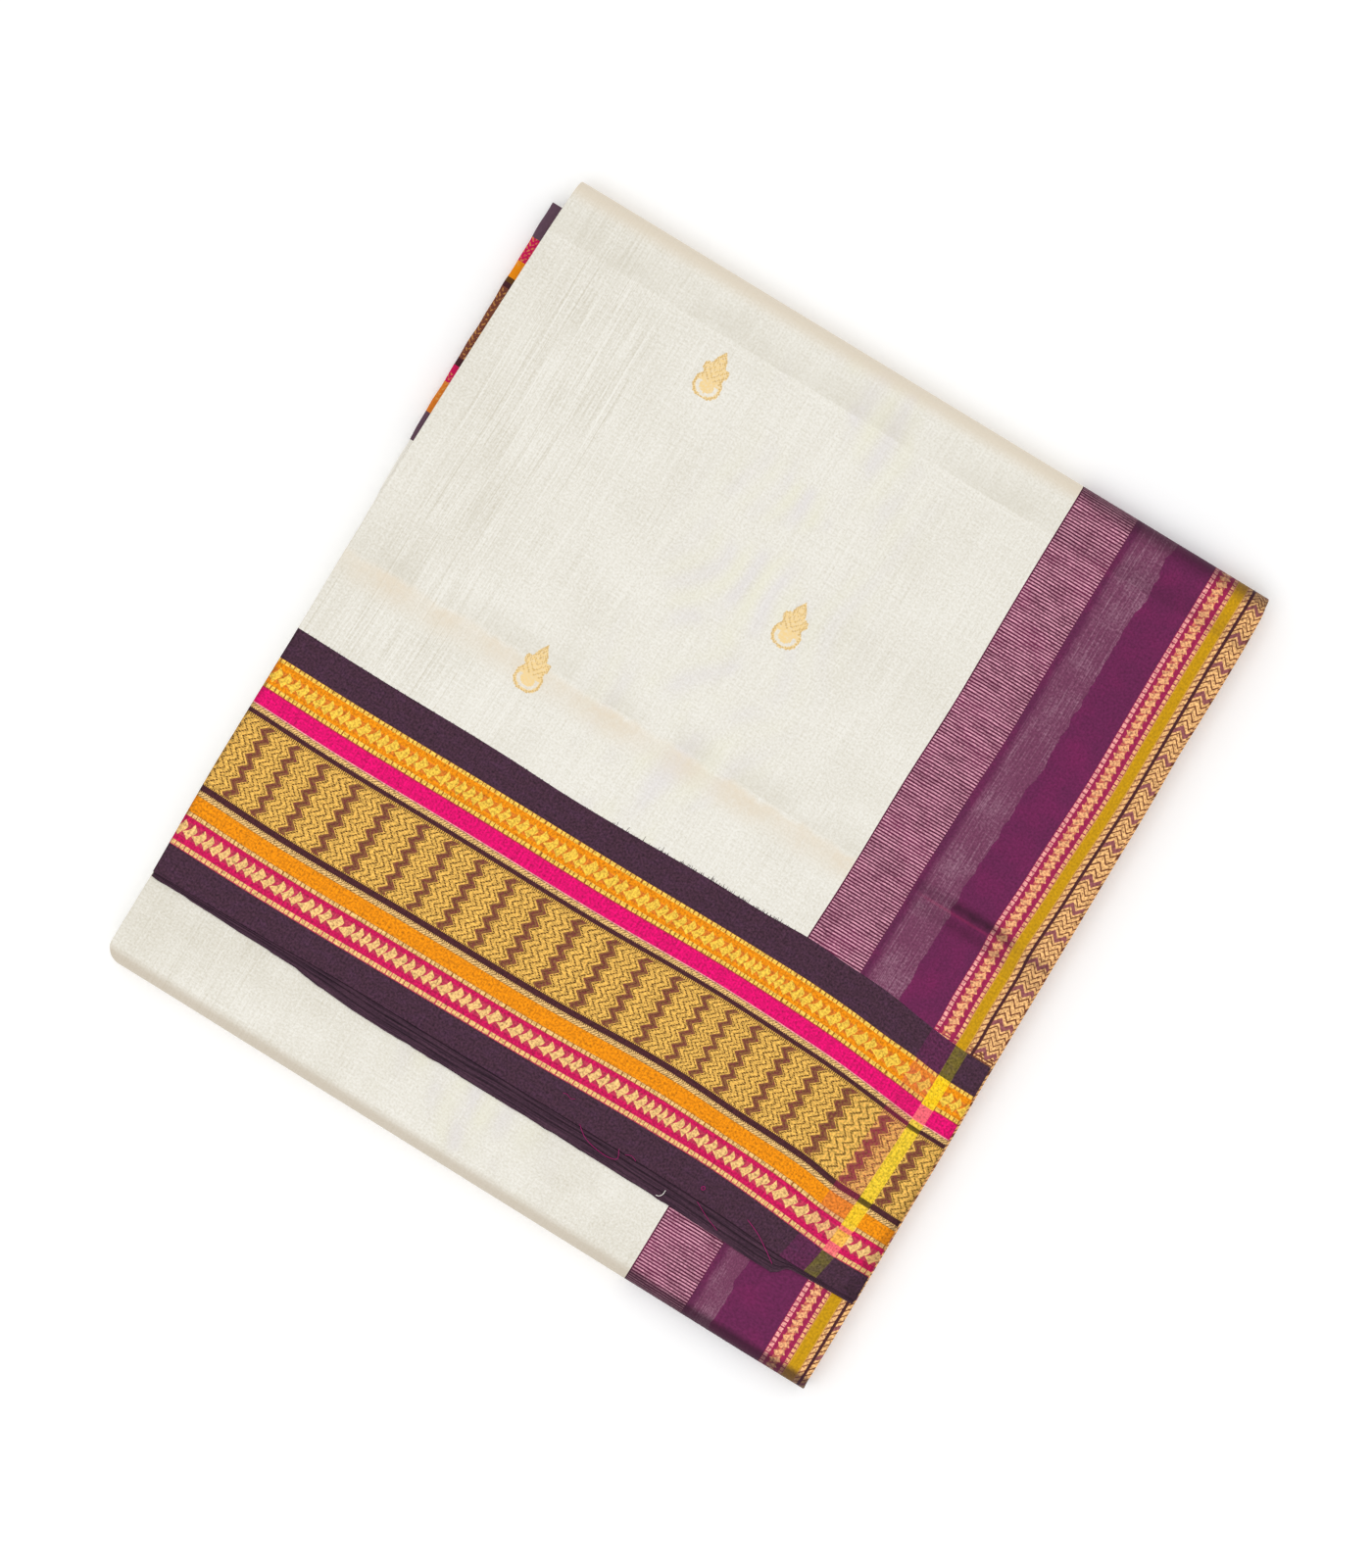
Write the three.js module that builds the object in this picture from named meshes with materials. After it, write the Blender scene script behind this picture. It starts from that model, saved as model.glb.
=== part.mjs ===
// A sari of silk and cotton, folded across its width and then rolled flat into a stack.
// Millimetres, +Z up. +X runs with the weft, towards the woven border; +Y runs with the warp, towards
// the far fold. The origin is under the middle of the stack, on the surface that it rests on.
//
// The outermost turn of the roll is one continuous leaf. From its free end it is the end panel on top,
// the top leaf, the far fold, the underside, the near fold and the lower leaf that goes in under the
// end panel. The weaver makes field, border and end panel as three webs joined by their threads, so
// each stretch of each web is a solid of its own. All the leaves inside that turn are the folded core.

import * as THREE from 'three';

// Driving sizes.
const STACK_LENGTH = 391; // far fold to near fold
const STACK_HEIGHT = 18;
const LEAF = 1.2; // one leaf is the cloth three to four ply, folded across its width
const GAP = 0.3; // between neighbouring solids
const HEM_THICKNESS = 1; // the under plies on their own
const EDGE_BULGE = 0.4; // a leaf's folded edge is rounded outwards by this
const CORNER_RADIUS = 11.5; // the left corner of the near fold, seen from above
const FOLD_STEPS = 4; // facets in each quarter of a fold

const HALF_LENGTH = STACK_LENGTH / 2;
const LOWER_TOP = STACK_HEIGHT - LEAF - GAP; // upper face of the lower leaf
const FAR_RADIUS = STACK_HEIGHT / 2;
const NEAR_RADIUS = LOWER_TOP / 2;
const FAR_CENTRE = HALF_LENGTH - FAR_RADIUS;
const NEAR_CENTRE = -HALF_LENGTH + NEAR_RADIUS;

// Stations down the stack, measured from the far fold.
const JOIN_DOWN = 228; // the join with the end panel, which sways about this line
const JOIN_SWAY = 5;
const PALLU_END_DOWN = 348.5; // end of the end panel's upper ply
const HEM_DOWN = 353; // the free ends of its under plies, on average
const UNDERLAP_DOWN = 308; // how far the lower leaf is followed under the end panel
const INNER_END_DOWN = 14.3; // free end of the cloth's inner end
const INNER_STOP_DOWN = 285; // where that leaf is lost among the others

// The two edges of the top leaf and the seam between field and border; a row for each station.
const TOP_EDGES = [
  { down: 0, left: -173.5, seam: 79.5, right: 171.6 },
  { down: 15, left: -174.1, seam: 79.5, right: 172.0 },
  { down: 50, left: -175.1, seam: 79.6, right: 173.0 },
  { down: 126, left: -176.3, seam: 79.9, right: 173.9 },
  { down: 202, left: -176.8, seam: 79.1, right: 174.7 },
  { down: 227, left: -176.6, seam: 78.6, right: 175.1 },
  { down: 302, left: -176.4, seam: 78.6, right: 175.6 },
  { down: 350, left: -175.1, seam: 78.6, right: 176.4 },
];

// The same for the lower leaf, which carries its border a little further out.
const LOWER_EDGES = [
  { down: 300, left: -175.2, seam: 87.8, right: 177.0 },
  { down: 378, left: -174.9, seam: 87.8, right: 178.1 },
  { down: 391, left: -174.9, seam: 87.8, right: 178.1 },
];

// The underside runs from the far fold, as the top leaf leaves it, to the near fold.
const UNDER_EDGES = [
  { down: 0, left: -173.5, seam: 79.5, right: 171.6 },
  { down: 391, left: -174.9, seam: 87.8, right: 178.1 },
];

// The left edge of the cloth's inner end, the only part of it that leaves the stack.
const INNER_EDGES = [
  { down: 14, left: -177.7 },
  { down: 120, left: -177.7 },
  { down: 135, left: -177.4 },
  { down: 168, left: -176.8 },
  { down: 200, left: -175.2 },
  { down: 290, left: -174.0 },
];
const INNER_RIGHT = -131;

// The woven join between the top leaf and the end panel, across the cloth.
const JOIN_LINE = [
  { x: -180, down: 226.8 },
  { x: -110, down: 226.0 },
  { x: -20, down: 228.0 },
  { x: 54, down: 226.0 },
  { x: 106, down: 227.6 },
  { x: 148, down: 231.0 },
  { x: 180, down: 232.5 },
];

// The free ends of the end panel's under plies, across the cloth.
const HEM_LINE = [
  { x: -180, down: 350.7 },
  { x: -110, down: 350.7 },
  { x: -40, down: 352.6 },
  { x: 10, down: 354.6 },
  { x: 84, down: 357.2 },
  { x: 140, down: 356.8 },
  { x: 152, down: 352.0 },
  { x: 180, down: 350.2 },
];

// Pressed creases that cross the stack: troughs in the upper leaves, each a row.
const CREASES = [
  { down: 20, depth: 0.25, reach: 6 },
  { down: 116, depth: 0.12, reach: 14 },
  { down: 185, depth: 0.5, reach: 5 },
  { down: 275, depth: 0.15, reach: 12 },
];
const EDGE_SAG = 0.9; // the stack is this much thinner along its left and right edges
const SAG_START = 150; // from this far off the middle
const SAG_END = 178;

// The near fold isn't square to the stack: it draws in towards the left.
const NEAR_DRAW = 2.3;
const NEAR_DRAW_START = -150;

// Columns across the cloth, shared by every piece so that neighbouring faces stay parallel.
const FIELD_COLUMNS = [-150, -100, -50, 0, 45];
const BORDER_COLUMNS = [110, 132, 150];
const ALL_COLUMNS = [...FIELD_COLUMNS, 84, ...BORDER_COLUMNS];

// Hidden leaves that show at the stack's two sides: how far each edge is set in from the top leaf's,
// and how much more at the near end than at the far end. A row for each leaf, from the bottom up.
const CORE_LEAVES = [
  { left: 1.4, leftSkew: 0.8, right: 1.0, rightSkew: 0.6 },
  { left: 0.8, leftSkew: -0.3, right: 2.2, rightSkew: -0.9 },
  { left: 2.3, leftSkew: 0.9, right: 0.7, rightSkew: 0.5 },
  { left: 1.1, leftSkew: -0.4, right: 1.6, rightSkew: 0.7 },
  { left: 2.8, leftSkew: -1.1, right: 2.6, rightSkew: -1.2 },
  { left: 1.3, leftSkew: 0.5, right: 1.2, rightSkew: 0.3 },
  { left: 1.9, leftSkew: -0.6, right: 0.8, rightSkew: 0.9 },
  { left: 0.9, leftSkew: 0.7, right: 2.4, rightSkew: -0.5 },
  { left: 2.4, leftSkew: -0.8, right: 1.4, rightSkew: 0.4 },
  { left: 1.0, leftSkew: 0.4, right: 1.9, rightSkew: -0.7 },
  { left: 1.7, leftSkew: -0.2, right: 0.9, rightSkew: 0.8 },
];
const LEAF_GROOVE = 1.0; // depth of the groove between two hidden leaves

// The inner end lies in a slot between the hidden leaves, open to the left.
const SLOT_LEAVES = 6; // hidden leaves under it
const SLOT_DEPTH = 47;
const SLOT_FLOOR = 9;
const SLOT_HEIGHT = LEAF + 2 * GAP;
const SLOT_START_DOWN = INNER_END_DOWN - 3;
const SLOT_STOP_DOWN = INNER_STOP_DOWN + 12;
const SLOT_TAPER = 1; // the slot opens and closes over this length
const CORE_BASE = LEAF + GAP;
const CORE_HEIGHT = STACK_HEIGHT - 2 * CORE_BASE;
const SLOT_BOTTOM = (SLOT_FLOOR - CORE_BASE) / CORE_HEIGHT; // as shares of the core's height
const SLOT_TOP = SLOT_BOTTOM + SLOT_HEIGHT / CORE_HEIGHT;
const CORE_FOLD_ANGLES = [0.2, 0.55, 0.95, 1.3]; // sections of its rounded ends, radians from the tip
const STEP_TAPER = 0.1; // the core steps up behind the lower leaf over this length

const COLOURS = {
  cream: { color: 0xece8dc, roughness: 0.75 },
  creamShade: { color: 0xd9d2c2, roughness: 0.8 },
  plum: { color: 0x6b2a5a, roughness: 0.7 },
  panel: { color: 0xd79a3f, roughness: 0.55 },
  aubergine: { color: 0x4a3040, roughness: 0.75 },
  innerEnd: { color: 0x7a4a48, roughness: 0.75 },
};

/** Value of a column of a table at a station, straight between its rows and held past its ends. */
function along(table, key, at, column) {
  if (at <= table[0][key]) return table[0][column];
  for (let row = 1; row < table.length; row += 1) {
    const [before, after] = [table[row - 1], table[row]];
    if (at <= after[key]) {
      const share = (at - before[key]) / (after[key] - before[key]);
      return before[column] + share * (after[column] - before[column]);
    }
  }
  return table[table.length - 1][column];
}

const yAt = (down) => HALF_LENGTH - down;
const downAt = (y) => HALF_LENGTH - y;

/** Depth of the pressed creases at a station. */
function creaseDepth(down) {
  return CREASES.reduce((sum, crease) => {
    const off = Math.abs(down - crease.down) / crease.reach;
    return sum + crease.depth * Math.max(0, 1 - off);
  }, 0);
}

/** Where a point of the ideal stack lies in the real one: thinner edges, creases, skewed near fold. */
function lay([x, y, z]) {
  const outwards = Math.max(0, Math.abs(x) - SAG_START) / (SAG_END - SAG_START);
  const lift = z / STACK_HEIGHT;
  const sag = EDGE_SAG * Math.min(1, outwards) * lift + creaseDepth(downAt(y)) * lift ** 3;
  const nearness = Math.min(1, Math.max(0, (NEAR_DRAW_START - y) / (NEAR_DRAW_START + HALF_LENGTH)));
  const drawn = NEAR_DRAW * nearness * Math.min(1, Math.max(0, (SAG_START - x) / (2 * SAG_START)));
  return [x, y + drawn, z - sag];
}

/** How far the stack's left edge draws in at the near fold's rounded corner. */
function cornerInset(y) {
  const past = Math.min(CORNER_RADIUS, Math.max(0, -HALF_LENGTH + CORNER_RADIUS - y));
  return CORNER_RADIUS - Math.sqrt(CORNER_RADIUS ** 2 - past ** 2);
}

// Stations of every flat stretch: the crease lines and the places between them.
const PLAIN_DOWNS = [60, 150, 168, 215, 245, 330, 365];
const UNDER_DOWNS = [130, 260];
const CREASE_DOWNS = CREASES.flatMap(({ down, reach }) => [down - reach, down, down + reach]);
const FLAT_DOWNS = [...CREASE_DOWNS, ...PLAIN_DOWNS].sort((a, b) => a - b);

/** The flat stations strictly between two ends, nearest the far fold first. */
function flatBetween(start, end) {
  return FLAT_DOWNS.filter((down) => down > start + 2 && down < end - 2);
}

/** A flat station: the leaf's outer face at height top, its inner face one thickness towards inward. */
function flat(down, top, inward, thickness = LEAF, line = null) {
  const shift = (x) => (line ? along(line.table, 'x', x, 'down') + line.offset : down);
  return {
    down,
    outer: (x) => [x, yAt(shift(x)), top],
    inner: (x) => [x, yAt(shift(x)), top + inward * thickness],
  };
}

/** A station on a fold: the angle is measured from +Y at the fold's centre. */
function onFold(centre, radius, angle) {
  const point = (r) => (x) => [x, centre + r * Math.cos(angle), radius + r * Math.sin(angle)];
  const down = downAt(centre + radius * Math.cos(angle));
  return { down, outer: point(radius), inner: point(radius - LEAF) };
}

const onFarFold = (angle) => onFold(FAR_CENTRE, FAR_RADIUS, angle);
const onNearFold = (angle) => onFold(NEAR_CENTRE, NEAR_RADIUS, angle);

/** Angles from one to another in equal facets, both ends included. */
function angles(from, to) {
  return Array.from({ length: FOLD_STEPS + 1 }, (_, step) => from + ((to - from) * step) / FOLD_STEPS);
}

/** A closed mesh from rings of equal length, one after another, and triangles over its two ends. */
function loft(rings, capTriangles) {
  const size = rings[0].length;
  const positions = rings.flat(2);
  const index = [];
  for (let row = 0; row + 1 < rings.length; row += 1) {
    for (let spot = 0; spot < size; spot += 1) {
      const next = (spot + 1) % size;
      const [a, b] = [row * size + spot, row * size + next];
      index.push(a, b, b + size, a, b + size, a + size);
    }
  }
  const last = (rings.length - 1) * size;
  for (const [a, b, c] of capTriangles(rings[0])) index.push(a, c, b);
  for (const [a, b, c] of capTriangles(rings.at(-1))) index.push(last + a, last + b, last + c);
  const geometry = new THREE.BufferGeometry();
  geometry.setAttribute('position', new THREE.Float32BufferAttribute(positions, 3));
  geometry.setIndex(index);
  if (signedVolume(positions, index) < 0) {
    for (let corner = 0; corner < index.length; corner += 3) {
      [index[corner], index[corner + 1]] = [index[corner + 1], index[corner]];
    }
    geometry.setIndex(index);
  }
  geometry.computeVertexNormals();
  return geometry;
}

/** Volume inside a mesh, negative when its faces point inwards. */
function signedVolume(positions, index) {
  const corner = (i) => new THREE.Vector3().fromArray(positions, 3 * i);
  let volume = 0;
  for (let i = 0; i < index.length; i += 3) {
    const [a, b, c] = [corner(index[i]), corner(index[i + 1]), corner(index[i + 2])];
    volume += a.dot(b.cross(c)) / 6;
  }
  return volume;
}

/** A leaf of cloth through stations, between two edges given as functions of the station. */
function leaf(stations, leftOf, rightOf, columns, roundedLeft, roundedRight) {
  const rings = stations.map((station) => {
    const left = leftOf(station);
    const right = rightOf(station);
    const across = [left, ...columns, right];
    const outer = across.map(station.outer);
    const inner = across.map(station.inner).reverse();
    const middle = (x, bulge) => {
      const [a, b] = [station.outer(x), station.inner(x)];
      return [x + bulge, (a[1] + b[1]) / 2, (a[2] + b[2]) / 2];
    };
    const rightMiddle = middle(right, roundedRight ? EDGE_BULGE : 0);
    const leftMiddle = middle(left, roundedLeft ? -EDGE_BULGE : 0);
    return [...outer, rightMiddle, ...inner, leftMiddle].map(lay);
  });
  const count = columns.length + 2;
  const cap = () => {
    const triangles = [];
    const innerAt = (spot) => 2 * count - spot;
    for (let spot = 0; spot + 1 < count; spot += 1) {
      triangles.push([spot, spot + 1, innerAt(spot + 1)], [spot, innerAt(spot + 1), innerAt(spot)]);
    }
    triangles.push([count - 1, count, count + 1], [0, 2 * count, 2 * count + 1]);
    return triangles;
  };
  return loft(rings, cap);
}

/** An edge of a leaf as a function of the station, moved sideways by shift. */
function edge(table, column, shift = 0) {
  return ({ down }) => along(table, 'down', down, column) + shift;
}

/** The left edge of a leaf that goes round the near fold's rounded corner. */
function leftEdge(table) {
  return (station) => {
    const outerY = station.outer(0)[1];
    return along(table, 'down', station.down, 'left') + EDGE_BULGE + cornerInset(outerY);
  };
}

const halfGap = GAP / 2;
const foldGap = halfGap / FAR_RADIUS;

/** Stations of the top leaf, from the far fold's middle to the join with the end panel. */
function topStations() {
  const join = { table: JOIN_LINE, offset: -halfGap };
  const fold = angles(foldGap, Math.PI / 2).map(onFarFold);
  const flats = flatBetween(FAR_RADIUS, JOIN_DOWN - JOIN_SWAY).map((down) => flat(down, STACK_HEIGHT, -1));
  return [...fold, ...flats, flat(JOIN_DOWN, STACK_HEIGHT, -1, LEAF, join)];
}

/** Stations of the underside, from the far fold's middle to the near fold's. */
function underStations() {
  const far = angles(-foldGap, -Math.PI / 2).map(onFarFold);
  const near = angles(-Math.PI / 2, -Math.PI + foldGap).map(onNearFold);
  const flats = UNDER_DOWNS.map((down) => flat(down, 0, 1));
  return [...far, ...flats, ...near];
}

/** Stations of the lower leaf, from the near fold's middle to where it goes in under the end panel. */
function lowerStations() {
  const near = angles(Math.PI - foldGap, Math.PI / 2).map(onNearFold);
  const downs = [UNDERLAP_DOWN, ...flatBetween(UNDERLAP_DOWN, STACK_LENGTH - NEAR_RADIUS)].reverse();
  return [...near, ...downs.map((down) => flat(down, LOWER_TOP, -1))];
}

/** Stations of the end panel, from its join to the end of its upper ply. */
function palluStations() {
  const join = { table: JOIN_LINE, offset: halfGap };
  const downs = [...flatBetween(JOIN_DOWN + JOIN_SWAY, PALLU_END_DOWN), PALLU_END_DOWN];
  const flats = downs.map((down) => flat(down, STACK_HEIGHT, -1));
  return [flat(JOIN_DOWN, STACK_HEIGHT, -1, LEAF, join), ...flats];
}

/** Stations of the under plies that show past the end panel. */
function hemStations() {
  const thickness = HEM_THICKNESS;
  const top = LOWER_TOP + GAP + thickness;
  const freeEnds = { table: HEM_LINE, offset: 0 };
  return [
    flat(PALLU_END_DOWN + GAP, top, -1, thickness),
    flat(HEM_DOWN, top, -1, thickness, freeEnds),
  ];
}

/** Stations of the cloth's inner end, which lies in the core's slot. */
function innerStations() {
  const top = SLOT_FLOOR + GAP + LEAF;
  const downs = [INNER_END_DOWN, ...flatBetween(INNER_END_DOWN, INNER_STOP_DOWN), INNER_STOP_DOWN];
  return downs.map((down) => flat(down, top, -1));
}

/** One side of a section of the core: the rounded edges of the hidden leaves, from the bottom up. */
function coreSide(side, y, base, height) {
  const down = downAt(y);
  const inwards = side === 'left' ? 1 : -1;
  const edgeX = along(TOP_EDGES, 'down', down, side) + (side === 'left' ? cornerInset(y) : 0);
  const slotted = side === 'left' && down > SLOT_START_DOWN && down < SLOT_STOP_DOWN;
  const point = (setIn, share) => [edgeX + inwards * setIn, y, base + share * height];
  return CORE_LEAVES.flatMap((row, order) => {
    const upper = order >= SLOT_LEAVES;
    const thickness = upper ? (1 - SLOT_TOP) / (CORE_LEAVES.length - SLOT_LEAVES) : SLOT_BOTTOM / SLOT_LEAVES;
    const foot = upper ? SLOT_TOP + (order - SLOT_LEAVES) * thickness : order * thickness;
    const crest = EDGE_BULGE + row[side] + (row[`${side}Skew`] * down) / STACK_LENGTH;
    const groove = crest + LEAF_GROOVE;
    const slot = slotted ? SLOT_DEPTH : groove;
    const rounded = [point(crest, foot + 0.3 * thickness), point(crest, foot + 0.7 * thickness)];
    if (order === 0) return rounded;
    if (order === SLOT_LEAVES) return [point(slot, SLOT_BOTTOM), point(slot, SLOT_TOP), ...rounded];
    return [point(groove, foot), ...rounded];
  });
}

/** The hidden leaves: sections across the stack from fold to fold, rounded inside the outer turn. */
function foldedCore() {
  const lowHeight = LOWER_TOP - 2 * CORE_BASE;
  const section = (y, base, height) => {
    const floor = ALL_COLUMNS.map((x) => [x, y, base]);
    const roof = ALL_COLUMNS.map((x) => [x, y, base + height]).reverse();
    const right = coreSide('right', y, base, height);
    const left = coreSide('left', y, base, height).reverse();
    return [...floor, ...right, ...roof, ...left].map(lay);
  };
  const rounded = (centre, radius) => (angle) => {
    const half = (radius - CORE_BASE) * Math.sin(angle);
    const y = centre + Math.sign(centre) * (radius - CORE_BASE) * Math.cos(angle);
    return section(y, radius - half, 2 * half);
  };
  const far = CORE_FOLD_ANGLES.map(rounded(FAR_CENTRE, FAR_RADIUS));
  const near = CORE_FOLD_ANGLES.map(rounded(NEAR_CENTRE, NEAR_RADIUS)).reverse();
  const aroundSlotEnd = (down) => [down - SLOT_TAPER / 2, down + SLOT_TAPER / 2];
  const slotEnds = [SLOT_START_DOWN, SLOT_STOP_DOWN].flatMap(aroundSlotEnd);
  const flats = flatBetween(SLOT_START_DOWN, SLOT_STOP_DOWN);
  const high = [FAR_RADIUS, ...slotEnds, ...flats].sort((a, b) => a - b);
  const low = flatBetween(UNDERLAP_DOWN, STACK_LENGTH - NEAR_RADIUS);
  const stepY = yAt(UNDERLAP_DOWN) + GAP;
  const rings = [
    ...far,
    ...high.map((down) => section(yAt(down), CORE_BASE, CORE_HEIGHT)),
    section(stepY + STEP_TAPER, CORE_BASE, CORE_HEIGHT),
    section(stepY, CORE_BASE, lowHeight),
    ...low.map((down) => section(yAt(down), CORE_BASE, lowHeight)),
    section(NEAR_CENTRE, CORE_BASE, lowHeight),
    ...near,
  ];
  const flatten = (ring) => ring.map(([x, , z]) => new THREE.Vector2(x, z));
  return loft(rings, (ring) => THREE.ShapeUtils.triangulateShape(flatten(ring), []));
}

const sari = new THREE.Group();

/** Adds a named piece with its own material. */
function add(name, geometry, finish) {
  const mesh = new THREE.Mesh(geometry, new THREE.MeshStandardMaterial({ ...finish, metalness: 0 }));
  mesh.name = name;
  sari.add(mesh);
}

/** Adds one stretch of the outer turn as two webs, the field and the border that is woven on to it. */
function addStretch(name, stations, table) {
  const field = leaf(stations, leftEdge(table), edge(table, 'seam', -halfGap), FIELD_COLUMNS, true, false);
  const seam = edge(table, 'seam', halfGap);
  const right = edge(table, 'right', -EDGE_BULGE);
  const border = leaf(stations, seam, right, BORDER_COLUMNS, false, true);
  add(`${name}_field`, field, COLOURS.cream);
  add(`${name}_border`, border, COLOURS.plum);
}

addStretch('top', topStations(), TOP_EDGES);
addStretch('under', underStations(), UNDER_EDGES);
addStretch('lower', lowerStations(), LOWER_EDGES);

/** Adds one part of the end panel, which runs the whole width of the top leaf. */
function addPanel(name, stations, finish) {
  const right = edge(TOP_EDGES, 'right', -EDGE_BULGE);
  add(name, leaf(stations, leftEdge(TOP_EDGES), right, ALL_COLUMNS, true, true), finish);
}

addPanel('pallu', palluStations(), COLOURS.panel);
addPanel('pallu_hem', hemStations(), COLOURS.aubergine);

const innerLeft = edge(INNER_EDGES, 'left');
const innerEnd = leaf(innerStations(), innerLeft, () => INNER_RIGHT, FIELD_COLUMNS.slice(0, 1), true, false);
add('inner_end', innerEnd, COLOURS.innerEnd);
add('folded_core', foldedCore(), COLOURS.creamShade);

export default sari;
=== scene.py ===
import logging
import math
from dataclasses import dataclass
from enum import Enum
from functools import reduce
from operator import or_
from typing import Callable, Dict, List, Optional, Sequence, Tuple, Union

import bpy
import numpy as np
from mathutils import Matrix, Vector


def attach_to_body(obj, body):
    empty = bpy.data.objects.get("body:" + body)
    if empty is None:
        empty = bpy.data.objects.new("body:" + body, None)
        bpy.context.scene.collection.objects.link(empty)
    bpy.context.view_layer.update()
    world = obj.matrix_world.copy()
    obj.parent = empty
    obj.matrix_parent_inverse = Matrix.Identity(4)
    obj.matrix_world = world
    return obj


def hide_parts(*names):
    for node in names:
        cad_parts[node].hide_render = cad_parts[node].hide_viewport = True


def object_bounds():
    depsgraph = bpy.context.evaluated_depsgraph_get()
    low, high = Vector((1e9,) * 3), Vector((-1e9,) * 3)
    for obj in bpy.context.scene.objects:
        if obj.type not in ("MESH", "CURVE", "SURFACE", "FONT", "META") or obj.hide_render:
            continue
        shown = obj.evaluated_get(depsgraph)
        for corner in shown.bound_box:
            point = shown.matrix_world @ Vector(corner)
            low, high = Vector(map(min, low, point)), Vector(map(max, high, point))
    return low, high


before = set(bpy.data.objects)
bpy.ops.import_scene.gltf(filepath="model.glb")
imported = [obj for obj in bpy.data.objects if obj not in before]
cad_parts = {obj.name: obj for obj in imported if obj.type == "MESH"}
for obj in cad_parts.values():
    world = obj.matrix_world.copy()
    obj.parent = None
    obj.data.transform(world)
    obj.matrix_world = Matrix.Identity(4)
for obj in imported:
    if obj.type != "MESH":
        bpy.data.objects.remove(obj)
CAD_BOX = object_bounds()

log = logging.getLogger("saree")

# A silk and cotton saree, folded across its width and rolled flat into a stack. Lengths are in
# millimetres until a mesh is made. x runs with the weft towards the border, "down" is the distance
# from the far fold towards the near one, "across" is counted from the seam between field and border,
# and "along" is the distance along the warp, counted from just past the far fold's middle.

MM = 0.001
Array = np.ndarray
Piece = bpy.types.Object
Material = bpy.types.Material
Colour = Tuple[float, float, float]
Points = Sequence[Tuple[float, float]]
Zones = Sequence[Tuple[float, float]]
PlaceRule = Callable[[Array, Array], Array]
WeaveRule = Callable[[Array, Array, Array], Tuple[Array, Array]]


def add_object(name: str, data: bpy.types.ID) -> Piece:
    """Make an object and link it to the scene."""
    made = bpy.data.objects.new(name, data)
    bpy.context.scene.collection.objects.link(made)
    return made


def smooth_step(at: Array) -> Array:
    """Ease from 0 to 1 as the argument goes from 0 to 1."""
    held = np.clip(at, 0.0, 1.0)
    return held * held * (3.0 - 2.0 * held)


def curve_through(points: Points, at: Array) -> Array:
    """Follow a smooth curve through a few points.

    Args:
        points: Pairs of station and value, in order.
        at: Stations to read the curve at.

    Returns:
        The curve's values, held past its two ends.
    """
    stations = np.array([point[0] for point in points], dtype=float)
    values = np.array([point[1] for point in points], dtype=float)
    slopes = np.gradient(values, stations) if len(points) > 1 else np.zeros(1)
    at = np.clip(np.asarray(at, dtype=float), stations[0], stations[-1])
    order = np.clip(np.searchsorted(stations, at) - 1, 0, max(len(points) - 2, 0))
    after = np.minimum(order + 1, len(points) - 1)
    span = np.maximum(stations[after] - stations[order], 1e-9)
    share = (at - stations[order]) / span
    start, stop = values[order], values[after]
    first = slopes[order] * span
    second = slopes[after] * span
    cubed, squared = share ** 3, share ** 2
    return (start * (2 * cubed - 3 * squared + 1) + first * (cubed - 2 * squared + share)
            + stop * (3 * squared - 2 * cubed) + second * (cubed - squared))


# -------- the stack's form


@dataclass(frozen=True)
class Crease:
    """A pressed crease across the stack: a slow rise on its far side, then a short drop.

    Attributes:
        down: Where it crosses the middle of the stack.
        rise: Length of the slow slope.
        drop: Length of the short one.
        height: Height of its crest over the cloth around it.
        strength: Share of that height along x, as pairs.
        sway: How far its line wanders, as pairs of x and down.
        ease: Power that hollows the slow slope.
        dip: Depth of the hollow after the drop, as a share of the height.
        healing: Length over which that hollow fills, as a share of the slow slope's.
    """

    down: float
    rise: float
    drop: float
    height: float
    strength: Points
    sway: Points = ((0.0, 0.0),)
    ease: float = 1.6
    dip: float = 0.45
    healing: float = 0.8

    def relief(self, x: Array, down: Array) -> Array:
        """Height that the crease adds at places on the stack.

        Args:
            x: Places across the stack.
            down: Places down the stack.

        Returns:
            The height at each place.
        """
        past = down - self.down - curve_through(self.sway, x)
        rising = smooth_step(1 + past / self.rise) ** self.ease
        falling = 1 - (1 + self.dip) * smooth_step(past / self.drop)
        healed = smooth_step((past - self.drop) / (self.healing * self.rise))
        profile = np.where(past < 0, rising, falling + self.dip * healed)
        return self.height * curve_through(self.strength, x) * profile


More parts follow.
